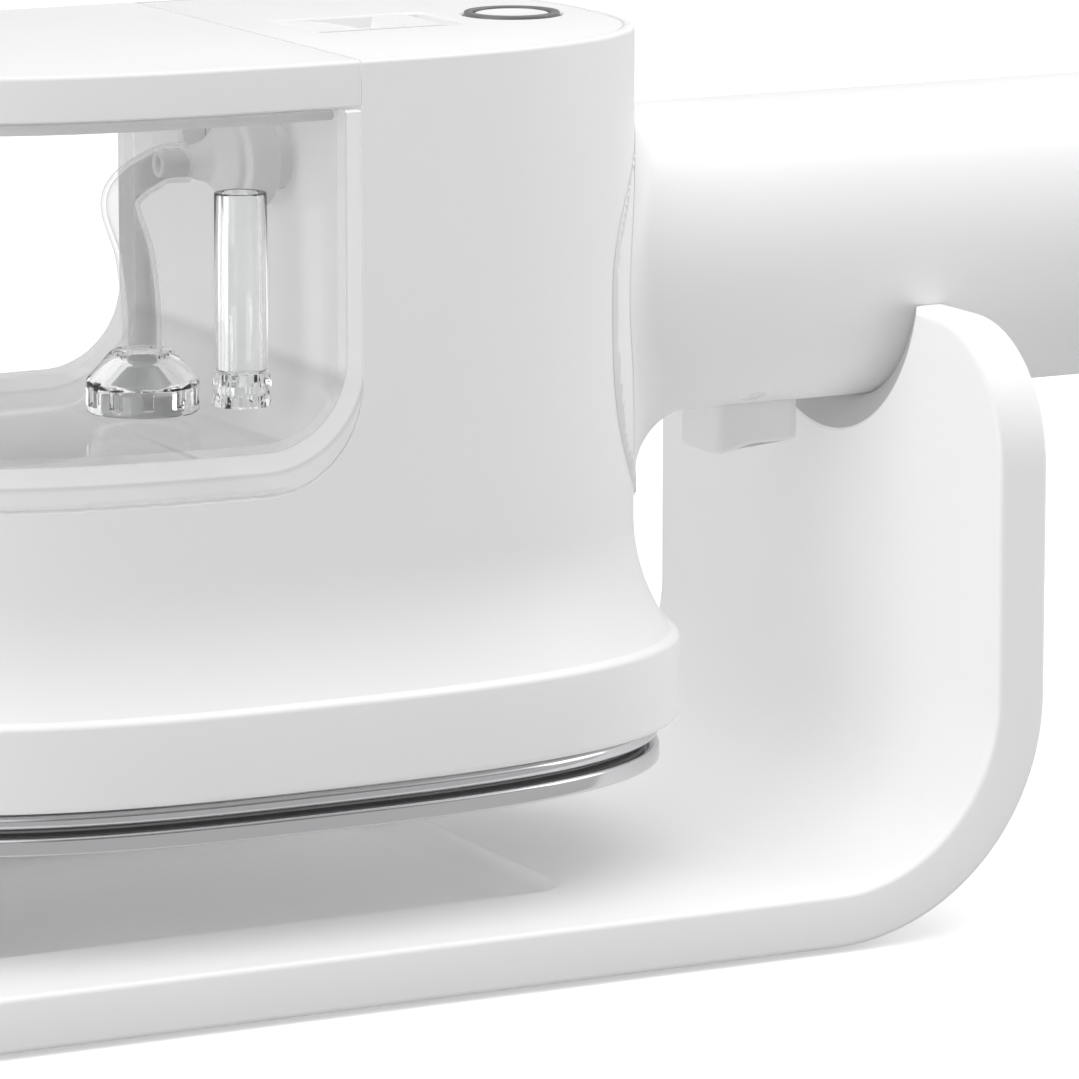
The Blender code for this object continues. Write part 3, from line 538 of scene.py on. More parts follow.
REPEAT = shape_tree("repeat_part", {"Places": "Geometry", "Part": "Object"},
                    {"part": "ObjectInfo", "place": "InstanceOnPoints"},
                    [("given", "Part", "part", "Object"), ("given", "Places", "place", "Points"),
                     ("part", "Geometry", "place", "Instance")])
grey_silicone = soft_touch("grey_silicone", (0.42, 0.42, 0.425))
pad_profile = [(0.3, 0.0), (FOOT_RADIUS - 1.5, 0.0), (FOOT_RADIUS, 0.25), (FOOT_RADIUS, 0.5), (0.3, 0.5)]
pad = solid("pad", turned(rounded(pad_profile, 0.2, 3), steps=48))
stand_feet = repeated("stand_feet", pad, [(x, y, 0) for x, y in FEET], grey_silicone)
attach(stand_feet, "stand")
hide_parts("stand_foot_1", "stand_foot_2", "stand_foot_3", "stand_foot_4")


# ---------------------------------------------------------------- nose rest
# A soft grey silicone block near the end of the stand, ribbed on top, that carries the nose
# of the hot plate.
SOLE_BOTTOM, SOLE_TOP = 22.4, 24.8
REST_LOW, REST_HIGH = (-114.5, -22.0), (-101.5, 22.0)
rest_top = SOLE_BOTTOM - GAP
rest_bottom = PLATE_TOP + GAP
rest_stack = [(0.0, rest_bottom), (0.0, rest_top - 1.2), (0.35, rest_top - 0.35), (1.2, rest_top)]
grooves = []
for step in range(9):
    groove_at = (-108.0, -18.0 + 4.5 * step, rest_top + 0.1)
    grooves.append(turned([(0.5, -8.0), (0.5, 8.0)], groove_at, "X", steps=16))
nose_pad = carve(solid("nose_pad", shrunk_oblong(REST_LOW, REST_HIGH, 4.0, rest_stack, 8)), *grooves)
nose_pad.data.materials.append(grey_silicone)
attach(nose_pad, "stand")
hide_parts("nose_rest")


# ---------------------------------------------------------------- head casing
# The white casing of the head: a superellipse in plan, with a flared skirt round the hot plate
# and a bay at the nose for the tank. It is one moulding, screwed up from below.
HEAD_X = -50.4
HEAD_HALF = 59.2
HEAD_WIDE = 35.7
HEAD_POWER = 2.77
HEAD_TOP = 121.0
LID_BOTTOM = 115.1
WALL = 2.4
SKIRT_BOTTOM = 28.4
SKIRT_BAND_TOP = 39.5
SKIRT_FLARE = 5.8
FLARE_TOP = 56.0
DECK_TOP = 65.8                # floor of the tank bay
DECK = 2.6
PART_X = -42.9                 # plane where the tank meets the head
BAY_CORNER = 13.6
EDGE = 0.6
PORT_Y, PORT_Z = -11.0, 105.8
AROUND = 240                   # points round the head
FRONT_AROUND = 150             # points round the part of it before a cut across
REAR_AROUND = 110              # points round the part of it behind a cut across


def plan_point(turn, offset):
    """A point of the head's plan, pushed out by offset."""
    c, s = math.cos(turn), math.sin(turn)
    power = 2 / HEAD_POWER
    x = HEAD_X + (HEAD_HALF + offset) * math.copysign(abs(c) ** power, c)
    y = (HEAD_WIDE + offset) * math.copysign(abs(s) ** power, s)
    return x, y


def plan_ring(offset, z, count=AROUND):
    """The head's whole plan at height z."""
    return [(*plan_point(2 * math.pi * i / count, offset), z) for i in range(count)]


def wall_x(y):
    """Where the head's rear wall stands at a given y."""
    reach = min(1.0, abs(y / HEAD_WIDE))
    return HEAD_X + HEAD_HALF * (1 - reach ** HEAD_POWER) ** (1 / HEAD_POWER)


def chord_turn(limit, offset):
    """The turn at which the plan crosses the plane x = limit."""
    share = (limit - HEAD_X) / (HEAD_HALF + offset)
    return math.acos(math.copysign(abs(share) ** (HEAD_POWER / 2), share))


def front_ring(offset, z, limit):
    """The plan in front of x = limit, closed by a straight edge there."""
    start = chord_turn(limit, offset)
    turns = [start + (2 * math.pi - 2 * start) * i / (FRONT_AROUND - 1) for i in range(FRONT_AROUND)]
    return [(*plan_point(t, offset), z) for t in turns]


def rear_ring(offset, z, limit):
    """The plan behind x = limit, closed by a straight edge there."""
    start = chord_turn(limit, offset)
    turns = [-start + 2 * start * i / (REAR_AROUND - 1) for i in range(REAR_AROUND)]
    return [(*plan_point(t, offset), z) for t in turns]


def bay_limit(z, floor_z, radius, face):
    """How far back the tank reaches at height z, round its lower rear corner."""
    rise = z - floor_z
    if rise >= radius:
        return face
    return face - radius + math.sqrt(max(0.0, radius ** 2 - (radius - rise) ** 2))


def skirt_offset(z):
    """How far the flare stands outside the plan at height z."""
    fall = (FLARE_TOP - z) / (FLARE_TOP - SKIRT_BAND_TOP)
    return (SKIRT_FLARE - 0.8) * max(0.0, fall) ** 2.2


def prism_y(outline, low, high):
    """Extrude an outline of (x, z) points from y = low to y = high."""
    return skin([[(x, y, z) for x, z in outline] for y in (low, high)])


def casing_cuts():
    """What is cut from the casing: inside, bay, rebate and its lip, handle root, spigot hole."""
    under = [(SKIRT_FLARE - WALL, SKIRT_BOTTOM - 2), (SKIRT_FLARE - WALL, SKIRT_BAND_TOP - 1),
             (-0.6, 45.0), (-WALL, FLARE_TOP), (-WALL, DECK_TOP - DECK)]
    yield skin([plan_ring(o, z, 120) for o, z in under])
    face = PART_X + 0.03
    far = HEAD_X - HEAD_HALF - 20
    heights = [DECK_TOP + BAY_CORNER * (1 - c) for _, c in arc(24)]
    corner = [(bay_limit(z, DECK_TOP, BAY_CORNER, face), z) for z in heights]
    yield prism_y([(far, DECK_TOP), *corner, (face, HEAD_TOP + 5), (far, HEAD_TOP + 5)], -60, 60)
    yield skin([rear_ring(-WALL, z, PART_X + WALL) for z in (DECK_TOP - DECK - 2.0, HEAD_TOP - 2.6)])
    yield skin([rear_ring(-1.2, z, PART_X - 3) for z in (HEAD_TOP - 2.0, HEAD_TOP + 2)])
    yield skin([rear_ring(-WALL - 0.6, z, PART_X + WALL) for z in (HEAD_TOP - 5.0, HEAD_TOP - 1.0)])
    yield turned([(16.9, -14.0), (16.9, 10.0)], (6, 0, GRIP_Z), "X", steps=96)
    yield turned([(7.0, -4.0), (7.0, 4.0)], (PART_X + 1, PORT_Y, PORT_Z), "X", steps=64)


skirt = [(SKIRT_FLARE - 2.0, SKIRT_BOTTOM), (SKIRT_FLARE, SKIRT_BOTTOM), (SKIRT_FLARE, SKIRT_BAND_TOP),
         (skirt_offset(SKIRT_BAND_TOP + 0.5), SKIRT_BAND_TOP + 0.5)]
skirt = rounded(skirt, 0.9, 5, closed=False)
flare_steps = [SKIRT_BAND_TOP + 0.5 + (FLARE_TOP - SKIRT_BAND_TOP - 0.5) * i / 20 for i in range(1, 21)]
crown = [(0.0, HEAD_TOP - EDGE)] + [(-EDGE * (1 - c), HEAD_TOP - EDGE + EDGE * s) for s, c in arc(5)[1:]]
casing_profile = skirt + [(skirt_offset(z), z) for z in flare_steps] + crown
head_casing = solid("head_casing", skin([plan_ring(o, z) for o, z in casing_profile]))
carve(head_casing, *casing_cuts(), sharp=28)
head_casing.data.materials.append(white_plastic)
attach(head_casing, "steamer")
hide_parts("head_shell")


# ---------------------------------------------------------------- top cover
# The white lid of the casing behind the tank, clipped into a rebate. It has a round hole for
# the power button and a slot for the tank latch.
BUTTON_X = -3.6
RING_OUT = 6.4
LATCH_X = (-35.5, -16.5)
LATCH_HALF = 7.0
LATCH_TRAVEL = 2.8
cover_low = HEAD_TOP - 1.7
cover_edge = PART_X + GAP / 2
cover_profile = [(-1.5, cover_low), (-1.5, HEAD_TOP - 0.35), (-1.6, HEAD_TOP - 0.1), (-1.85, HEAD_TOP)]
slot_sides = [(0.0, cover_low - 2), (0.0, HEAD_TOP - 0.3), (-0.3, HEAD_TOP), (-0.9, HEAD_TOP + 0.6)]
cover_slot = shrunk_oblong((LATCH_X[0] - GAP, -LATCH_HALF - GAP),
                           (LATCH_X[1] + LATCH_TRAVEL + GAP, LATCH_HALF + GAP), 1.2, slot_sides)
cover_hole = turned([(RING_OUT + GAP, -5.0), (RING_OUT + GAP, -0.25), (RING_OUT + GAP + 0.6, 0.35)],
                    (BUTTON_X, 0, HEAD_TOP), steps=96)
top_plate = carve(solid("top_plate", skin([rear_ring(o, z, cover_edge) for o, z in cover_profile])),
                  cover_slot, cover_hole)
top_plate.data.materials.append(white_plastic)
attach(top_plate, "steamer")
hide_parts("top_cover")


# ---------------------------------------------------------------- power button
# A dark ring pressed into the cover and a white dished cap that sinks into it. The light of
# the control shines through the cap.
BUTTON = 5.0
button_seat = HEAD_TOP - 1.0
dark_plastic = moulded("dark_plastic", (0.16, 0.16, 0.165), 0.36, 0.006)
ring_profile = [(RING_OUT, -2.2), (RING_OUT, 1.4), (BUTTON + GAP, 1.4), (BUTTON + GAP, -2.2)]
ring_profile = rounded(ring_profile, 0.25, 4)
button_bezel = solid("button_bezel", turned(ring_profile, (BUTTON_X, 0, button_seat), hollow=True, steps=96))
button_bezel.data.materials.append(dark_plastic)
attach(button_bezel, "steamer")
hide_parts("button_ring")
DISH = 0.35                    # how deep the cap is dished
cap_profile = [(BUTTON - 0.3, -2.6), (BUTTON, -2.2), (BUTTON, 1.1), (BUTTON - 0.6, 1.2)]
cap_profile = rounded(cap_profile, 0.3, 4, closed=False)
cap_profile += [((BUTTON - 0.62) * (1 - i / 8), 1.2 - DISH * math.sin(math.pi / 2 * i / 8))
                for i in range(1, 8)]
button_cap = solid("button_cap", turned(cap_profile, (BUTTON_X, 0, button_seat), steps=96))
button_cap.data.materials.append(white_plastic)
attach(button_cap, "power_button")
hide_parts("power_button")


# ---------------------------------------------------------------- tank latch
# A white slider in the cover with a thumb scoop. Its leg hooks behind the tank's lid, and its
# tongue closes the slot behind it.
latch_low, latch_high = LATCH_X
LATCH_TONGUE = 3.6
latch_outline = [(latch_low, HEAD_TOP - 1.9), (latch_low, HEAD_TOP), (latch_high, HEAD_TOP),
                 (latch_high, HEAD_TOP - 2.0), (latch_high + LATCH_TONGUE, HEAD_TOP - 2.1),
                 (latch_high + LATCH_TONGUE, HEAD_TOP - 3.4), (latch_high - 5.0, HEAD_TOP - 3.4),
                 (latch_high - 5.0, HEAD_TOP - 6.5), (latch_high - 7.0, HEAD_TOP - 6.5),
                 (latch_high - 7.0, HEAD_TOP - 3.4), (latch_low - 1.0, HEAD_TOP - 3.4),
                 (latch_low - 1.0, HEAD_TOP - 2.1)]
scoop_line = ((2.5, 0.02), (6.5, -0.35), (10.5, -1.1), (13.0, -1.65), (13.6, -1.55), (14.0, 0.02),
              (14.0, 3.0), (2.5, 3.0))
scoop_outline = [(latch_low + x, HEAD_TOP + z) for x, z in scoop_line]
tank_latch = solid("tank_latch", prism_y(rounded(latch_outline, 0.3, 3), 0.2 - LATCH_HALF, LATCH_HALF - 0.2))
carve(tank_latch, prism_y(rounded(scoop_outline, 1.0, 4), -LATCH_HALF + 1.6, LATCH_HALF - 1.6))
tank_latch.data.materials.append(white_plastic)
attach(tank_latch, "release_latch")
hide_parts("release_latch")


# ---------------------------------------------------------------- handle casing
# The white tube that the hand grips. Its root sweeps out to an oval foot, which lies against
# the rear wall of the head along a fine seam.
GRIP_BORE = 18.4
GRIP_END = 109.0
CAP_END = 113.5
GLAND_END = 118.5
ROOT_WIDE, ROOT_UP, ROOT_DOWN = 26.5, 24.2, 31.4
ROOT_POWER = 1.75
SEAM = 0.07                    # the fine line between the handle's foot and the head
TRIGGER_X = (24.5, 37.9)
TRIGGER_HALF = 5.5
TRIGGER_LOW = 59.7
LENS_X = 28.3
LENS_TILT = 27                 # degrees from straight down, to the front
SIDES = 144
ROOT_IN = -14.0                # where the handle casing starts, before the wall trims it


def root_radius(angle):
    """Radius of the handle's outline where it lands on the head; angle 0 points down."""
    down = math.cos(angle)
    reach, power = (ROOT_DOWN, 3.3) if down > 0 else (ROOT_UP, 2.2)
    share = (abs(math.sin(angle)) / ROOT_WIDE) ** power + (abs(down) / reach) ** power
    return share ** (-1 / power)


def grip_ring(x):
    """The handle's outline at x: round, and swept out towards the head's wall."""
    ring = []
    for i in range(SIDES):
        angle = 2 * math.pi * i / SIDES
        swell = root_radius(angle) - GRIP
        low = (1 + math.cos(angle)) / 2
        reach = 3.3 + 10.1 * low - 1.4 * low ** 2
        start = wall_x((GRIP + 0.85 * swell) * math.sin(angle))
        share = min(1.0, max(0.0, (x - start) / reach))
        radius = GRIP + swell * (1 - (1 - (1 - share) ** ROOT_POWER) ** (1 / ROOT_POWER))
        ring.append((x, -radius * math.sin(angle), GRIP_Z - radius * math.cos(angle)))
    return ring


def lens_place(bm):
    """Turn a small upright part so that it points out of the handle's underside."""
    tilt = Matrix.Rotation(math.radians(180 - LENS_TILT), 4, "X")
    bmesh.ops.transform(bm, matrix=Matrix.Translation((LENS_X, 0, GRIP_Z)) @ tilt, verts=bm.verts)
    return bm


grip_stations = [ROOT_IN + 0.45 * i for i in range(85)]
grip_stations += [26.0, 30.0, 38.0, 50.0, 80.0, GRIP_END - 0.3, GRIP_END]
handle_rings = [grip_ring(x) for x in grip_stations]
turns = [2 * math.pi * i / SIDES for i in range(SIDES)]
for x in (GRIP_END, ROOT_IN):
    handle_rings.append([(x, -GRIP_BORE * math.sin(a), GRIP_Z - GRIP_BORE * math.cos(a)) for a in turns])
trigger_slot = shrunk_oblong((TRIGGER_X[0] - GAP, -TRIGGER_HALF - GAP),
                             (TRIGGER_X[1] + GAP, TRIGGER_HALF + GAP), 1.6, [(0.0, 55.0), (0.0, 76.0)])
lens_hole = lens_place(turned([(1.8, 15.0), (1.8, 24.0)], steps=40))
handle_casing = solid("handle_casing", skin(handle_rings, loop=True))
carve(handle_casing, skin([plan_ring(SEAM, z) for z in (40.0, 130.0)]), trigger_slot, lens_hole)
handle_casing.data.materials.append(white_plastic)
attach(handle_casing, "steamer")
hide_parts("handle_shell")


# ---------------------------------------------------------------- indicator lens
# A tiny clear light guide under the handle, pushed in from inside.
def clear_shell(name, tint, film, rim, depth=None):
    """Clear plastic in a thin shell: see-through face on, milky along its edges.

    depth gives, in metres, how deep a point lies in the solid wall and floor, where grey lines
    and white bands are painted in as refracted light.
    """
    material, shader, value = new_material(name, {"IOR": 1.49})
    grazing = value.node("LayerWeight", {}, {"Blend": 0.5}, "Facing")
    flow = value.noise(60.0, 2.0)
    cover = film + rim * grazing ** 3 + 0.015 * flow
    shade = value.blend(flow, (*[0.98 * c for c in tint], 1), (*tint, 1))
    if depth:
        deep = depth(value)
        # Painted refraction: grey lines and white bands set by depth in the thick floor and rear wall.
        bands = value.node("ValToRGB", {"stops": PAINTED_REFRACTION_BANDS}, {0: deep * 160.0})
        shade = value.blend(bands, (0.45, 0.45, 0.455, 1), (1.0, 1.0, 1.0, 1))
        solid_share = value.node("Clamp", {}, {"Value": deep * 6000.0})
        cover = cover + solid_share * (THICK_COVER - cover)
    return feed(material, shader, Base_Color=shade, Alpha=cover, Roughness=0.03 + 0.04 * flow,
                Normal=value.bump(flow, 0.02, 0.2))


def clear_solid(name, tint):
    """Clear plastic in a small solid part, which bends what is seen through it."""
    material, shader, value = new_material(name, {"IOR": 1.49, "Transmission Weight": 1.0})
    flow = value.noise(70.0, 2.0)
    haze = 0.03 * value.noise(240.0, 3.0)
    paler = tuple(min(1.0, 1.01 * c) for c in tint)
    return feed(material, shader, Base_Color=value.blend(flow, (*tint, 1), (*paler, 1)),
                Roughness=haze, Normal=value.bump(flow, 0.03, 0.2))


LENS = 1.5
clear_plastic = clear_solid("clear_plastic", (0.975, 0.98, 0.98))
lens_profile = [(LENS, 17.0), (LENS, 20.6)] + [(LENS * c, 20.6 + 0.4 * s) for s, c in arc(6)[1:-1]]
ready_lens = solid("ready_lens", lens_place(turned(lens_profile, steps=40)))
ready_lens.data.materials.append(clear_shell("lens_plastic", (0.9, 0.9, 0.9), 0.7, 0.3))
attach(ready_lens, "steamer")
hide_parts("indicator_lens")


# ---------------------------------------------------------------- end cap and cord gland
# A white cap pushed into the end of the handle, and the grey silicone gland in its middle that
# would hold a cord.
cap_start = GRIP_END + GAP
cap_bore = 5.8
end_profile = [(GRIP_BORE - GAP, cap_start - 4.0), (GRIP_BORE - GAP, cap_start), (GRIP, cap_start),
               (GRIP, cap_start + 1.4), (GRIP - 0.9, cap_start + 3.2), (GRIP - 3.0, CAP_END),
               (cap_bore, CAP_END), (cap_bore, cap_start - 2.0), (GRIP_BORE - 3.0, cap_start - 2.0),
               (GRIP_BORE - 3.0, cap_start - 4.0)]
end_ring = turned(rounded(end_profile, 0.7, 4), (0, 0, GRIP_Z), "X", hollow=True, steps=SIDES)
grip_cap = solid("grip_cap", end_ring)
grip_cap.data.materials.append(white_plastic)
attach(grip_cap, "steamer")
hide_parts("handle_end_cap")

gland_profile = [(7.4, GRIP_END - 4.0), (7.4, GRIP_END - 2.0), (5.5, GRIP_END - 2.0)]
for turn in range(3):
    start = CAP_END + 0.5 + 1.5 * turn
    rib, neck = 5.4 - 0.15 * turn, 4.7 - 0.15 * turn
    gland_profile += [(rib, start), (rib, start + 0.8), (neck, start + 0.9), (neck, start + 1.4)]
gland_profile += [(4.7, GLAND_END), (3.4, GLAND_END), (3.4, GRIP_END - 4.0)]
gland_ring = turned(rounded(gland_profile, 0.2, 3), (0, 0, GRIP_Z), "X", hollow=True, steps=72)
cord_sleeve = solid("cord_sleeve", gland_ring)
cord_sleeve.data.materials.append(grey_silicone)
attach(cord_sleeve, "steamer")
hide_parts("cord_gland")


# ---------------------------------------------------------------- trigger
# The pale grey steam trigger, moulded in one: a finger pad with a wavy underside, and a flange
# that keeps it in the handle. It moves straight up against its spring.
TRIGGER_ROUND = 2.0
TRIGGER_EDGE = 0.8
FLANGE_LOW, FLANGE_HIGH = 70.0, 71.6


def trigger_foot(x):
    """Height of the trigger's underside at x: lowest near the head, then rising in a wave."""
    share = (x - TRIGGER_X[0]) / (TRIGGER_X[1] - TRIGGER_X[0])
    climb = min(1.0, max(0.0, (share - 0.06) * 2.2))
    return TRIGGER_LOW + 0.05 + 1.1 * (0.5 - 0.5 * math.cos(math.pi * climb))


def trigger_ring(inset, lift=0.0, level=None):
    """The trigger's outline, lifted from the wavy underside or all at one level."""
    low = (TRIGGER_X[0] + inset, -TRIGGER_HALF + inset)
    high = (TRIGGER_X[1] - inset, TRIGGER_HALF - inset)
    ring = oblong(low, high, TRIGGER_ROUND - inset, 0.0, 8)
    dense = []
    for first, second in zip(ring, ring[1:] + ring[:1]):
        count = 12 if abs(second[0] - first[0]) > 4 else 1
        for i in range(count):
            x = first[0] + (second[0] - first[0]) * i / count
            y = first[1] + (second[1] - first[1]) * i / count
            dense.append((x, y, trigger_foot(x) + lift if level is None else level))
    return dense


trigger_rings = [trigger_ring(TRIGGER_EDGE * (1 - s), TRIGGER_EDGE * (1 - c)) for s, c in arc(5)]
for inset, level in ((0.0, FLANGE_LOW), (-0.2, FLANGE_LOW + 0.2), (-0.2, FLANGE_HIGH)):
    trigger_rings.append(trigger_ring(inset, level=level))
grey_plastic = moulded("grey_plastic", (0.86, 0.86, 0.865), 0.34, 0.006)
flange = shrunk_oblong((TRIGGER_X[0] - 2.2, -TRIGGER_HALF), (TRIGGER_X[1] + 2.2, TRIGGER_HALF), 1.0,
                       [(0.0, FLANGE_LOW), (0.0, FLANGE_HIGH)])
finger_pad = solid("finger_pad", skin(trigger_rings))
flange_part = solid("flange", flange)
union = finger_pad.modifiers.new("flange", "BOOLEAN")
union.operation = "UNION"
union.object = flange_part
settle(finger_pad)
bpy.data.objects.remove(flange_part)
finger_pad.data.materials.append(grey_plastic)
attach(finger_pad, "trigger")
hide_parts("trigger")


# ---------------------------------------------------------------- hot plate
# From the top: a polished metal trim ring, a dark heat-proof seal in the groove, and the
# polished soleplate with its steam holes. They are drawn up to the chamber by hidden screws.
SOLE_OUT = 3.3
SEAL_LOW, SEAL_HIGH = 25.1, 25.8
TRIM_LOW, TRIM_MIDDLE, TRIM_HIGH = 26.1, 26.85, 28.1
TRIM_IN = -2.0
BEAD_ROOT = 1.9                # where the ring's flat underside meets its round bead
BEAD_OUT, BEAD_RISE = 1.2, 1.25
CHAMBER_IN = -5.0
HOLE = 1.4


def steam_holes():
    """Steam outlets on a smaller copy of the head's plan, and a few along the middle."""
    turns = [2 * math.pi * (i + 0.5) / 12 for i in range(12)]
    return [plan_point(t, -15.0) for t in turns] + [(HEAD_X + step, 0.0) for step in (-18.0, 0.0, 18.0)]


def polished(name, tint, roughness, brushed):
    """Buffed metal: fine lines along the part, faint stains, bright where it was polished."""
    material, shader, value = new_material(name, {"Metallic": 1.0})
    lines = value.noise(1.0, 2.0, value.stretched(brushed))
    stain = value.noise(45.0, 4.0)
    duller = tuple(0.93 * c for c in tint)
    gloss = roughness + 0.08 * lines + 0.06 * stain
    return feed(material, shader, Base_Color=value.blend(stain, (*duller, 1), (*tint, 1)), Roughness=gloss,
                Normal=value.bump(lines, 0.004, 0.4))


polished_metal = polished("polished_metal", (0.62, 0.62, 0.63), 0.08, (60.0, 60.0, 9000.0))
trim_profile = [(TRIM_IN, TRIM_LOW), (BEAD_ROOT, TRIM_LOW)]
for step in range(13):
    swing = math.pi * (step / 12 - 0.5)
    bead = SOLE_OUT - BEAD_OUT + BEAD_OUT * math.cos(swing)
    trim_profile.append((bead, TRIM_MIDDLE + BEAD_RISE * math.sin(swing)))
trim_profile.append((TRIM_IN, TRIM_HIGH))
sole_bead = solid("sole_bead", skin([plan_ring(o, z) for o, z in trim_profile], loop=True))
sole_bead.data.materials.append(polished_metal)
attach(sole_bead, "steamer")
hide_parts("sole_trim_ring")

dark_seal = soft_touch("dark_seal", (0.27, 0.27, 0.273), 0.55)
seal_in, seal_out = CHAMBER_IN + GAP, 1.6
seal_profile = [(seal_out, SEAL_LOW), (seal_out, SEAL_HIGH), (seal_in, SEAL_HIGH), (seal_in, SEAL_LOW)]
seal_profile = rounded(seal_profile, 0.25, 3)
groove_seal = solid("groove_seal", skin([plan_ring(o, z) for o, z in seal_profile], loop=True))
groove_seal.data.materials.append(dark_seal)
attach(groove_seal, "steamer")
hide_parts("sole_seal")

sole_profile = [(SOLE_OUT - 1.1, SOLE_BOTTOM), (SOLE_OUT, SOLE_BOTTOM), (SOLE_OUT, SOLE_TOP),
                (SOLE_OUT - 1.2, SOLE_TOP)]
sole_profile = rounded(sole_profile, 1.0, 6, closed=False)[1:-1]
hole_profile = [(HOLE + 0.9, -1.0), (HOLE + 0.4, 0.0), (HOLE, 0.5), (HOLE, 5.0)]
hole_cuts = [turned(hole_profile, (x, y, SOLE_BOTTOM), steps=24) for x, y in steam_holes()]
sole_plate = solid("sole_plate", skin([plan_ring(o, z) for o, z in sole_profile]))
carve(sole_plate, *hole_cuts)
sole_plate.data.materials.append(polished_metal)
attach(sole_plate, "steamer")
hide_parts("soleplate")


# ---------------------------------------------------------------- tank
# The clear front tank: one thick-walled moulding, open at the top, with a flat rear wall that
# takes the outlet and the filler. Its lower rear corner is round.
TANK_WALL = 2.3
TANK_FLOOR = 71.8
TANK_TOP = 114.8
FILLER_Y = 12.0
tank_face = PART_X - GAP / 2
inner_face = tank_face - TANK_WALL
tank_foot = DECK_TOP + GAP
inner_corner = BAY_CORNER - TANK_WALL
TANK_EASE = 0.8                # easing of the moulding's lower edge
FLOOR_EASE = 3.0               # round where the inner walls meet the floor
# Painted refraction in the tank's thick floor and wall: grey lines and white bands by depth.
PAINTED_REFRACTION_BANDS = ((0.0, 0.25), (0.05, 0.95), (0.40, 1.0), (0.46, 0.55), (0.55, 0.82), (0.95, 0.88))
THICK_COVER = 0.80


def tank_depth(value):
    """How far a point lies outside the tank's hollow, towards the rear and the floor."""
    at = value.place()
    x = value.along(0, at)
    z = value.along(2, at)
    aside = value.math("MAXIMUM", x - (inner_face - inner_corner) * MM)
    below = value.math("MAXIMUM", (TANK_FLOOR + inner_corner) * MM - z)
    return value.math("SQRT", aside * aside + below * below) - inner_corner * MM


tank_rings = []
for s, c in arc(20):
    z = tank_foot + BAY_CORNER * (1 - c)
    ease = TANK_EASE * max(0.0, 1 - (z - tank_foot) / TANK_EASE) ** 2
    tank_rings.append(front_ring(-ease, z, bay_limit(z, tank_foot, BAY_CORNER, tank_face)))
tank_rings += [front_ring(0.0, TANK_TOP - 0.3, tank_face), front_ring(-0.3, TANK_TOP, tank_face - 0.3)]
tank_rings += [front_ring(-TANK_WALL + 0.3, TANK_TOP, inner_face + 0.3)]
tank_rings += [front_ring(-TANK_WALL, TANK_TOP - 0.3, inner_face)]
for s, c in reversed(arc(16)):
    z = TANK_FLOOR + inner_corner * (1 - c)
    ease = FLOOR_EASE * (1 - math.sqrt(1 - max(0.0, 1 - (z - TANK_FLOOR) / FLOOR_EASE) ** 2))
    tank_rings.append(front_ring(-TANK_WALL - ease, z, bay_limit(z, TANK_FLOOR, inner_corner, inner_face)))
tank_body = solid("tank_body", skin(tank_rings))
carve(tank_body, turned([(4.3, -5), (4.3, 5)], (inner_face, PORT_Y, PORT_Z), "X"),
      turned([(5.0, -5), (5.0, 5)], (inner_face, FILLER_Y, PORT_Z), "X"))
tank_body.data.materials.append(clear_shell("tank_plastic", (0.97, 0.97, 0.97), 0.02, 0.45, tank_depth))
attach(tank_body, "tank")
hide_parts("tank_shell")


# ---------------------------------------------------------------- tank lid and gasket
# The white lid closes the tank flush with the casing. Its plug drops into the tank, and a pale
# silicone ring round the plug seals it.
LID_PLUG = 5.0
lid_steps = [(-LID_PLUG, 113.0), (-LID_PLUG, LID_BOTTOM), (-0.25, LID_BOTTOM), (0.0, LID_BOTTOM + 0.25),
             (0.0, HEAD_TOP - EDGE)]
lid_steps += [(-EDGE * (1 - c), HEAD_TOP - EDGE + EDGE * s) for s, c in arc(5)[1:]]
lid_rings = []
for offset, z in lid_steps:
    follow = 0.35 if offset > -1 else 1.0      # the rim's straight edge is eased less than its round one
    lid_rings.append(front_ring(offset, z, tank_face + offset * follow))
tank_cap = solid("tank_cap", skin(lid_rings), sharp=30)
tank_cap.data.materials.append(white_plastic)
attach(tank_cap, "tank")
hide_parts("tank_lid")

band = rounded([(-2.6, 113.2), (-2.6, 114.6), (-4.7, 114.6), (-4.7, 113.2)], 0.5, 4)
plug_seal = solid("plug_seal", skin([front_ring(o, z, tank_face + o) for o, z in band], loop=True))
pale_silicone = soft_touch("pale_silicone", (0.74, 0.74, 0.745))
plug_seal.data.materials.append(pale_silicone)
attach(plug_seal, "tank")
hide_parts("lid_gasket")


# ---------------------------------------------------------------- outlet coupling and filler plug
# The pale silicone coupling in the tank's rear wall: a thick ring, a barb for the hose inside,
# and a spigot that enters the head. Beside it the plug that closes the filler.
coupling_profile = [(1.0, tank_face + 3.4), (1.0, inner_face - 15.0), (1.8, inner_face - 15.0),
                    (1.9, inner_face - 11.0), (2.8, inner_face - 8.0), (5.0, inner_face - 5.6),
                    (5.0, inner_face - 4.5), (6.5, inner_face - 4.5), (6.5, inner_face - GAP),
                    (4.0, inner_face - GAP), (4.0, tank_face), (3.0, tank_face + 0.1), (3.0, tank_face + 3.4)]
coupling = turned(rounded(coupling_profile, 0.45, 4), (0, PORT_Y, PORT_Z), "X", hollow=True, steps=96)
port_ring = solid("port_ring", coupling)
port_ring.data.materials.append(pale_silicone)
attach(port_ring, "tank")
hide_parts("outlet_coupling")

stopper_profile = rounded([(4.2, inner_face - 3.5), (4.7, inner_face - 3.0), (4.7, tank_face - 0.9),
                           (4.9, tank_face - 0.9), (4.9, tank_face)], 0.3, 3, closed=False)
stopper = solid("stopper", turned(stopper_profile, (0, FILLER_Y, PORT_Z), "X"))
stopper.data.materials.append(pale_silicone)
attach(stopper, "tank")
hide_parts("filler_plug")


# ---------------------------------------------------------------- suction hose
# A soft clear hose that curves down from the barb to the filter on the tank's floor. A node
# tree sweeps its section along its line.
FILTER_AT = (-60.5, -6.0)
HOSE, HOSE_WALL = 2.6, 0.7


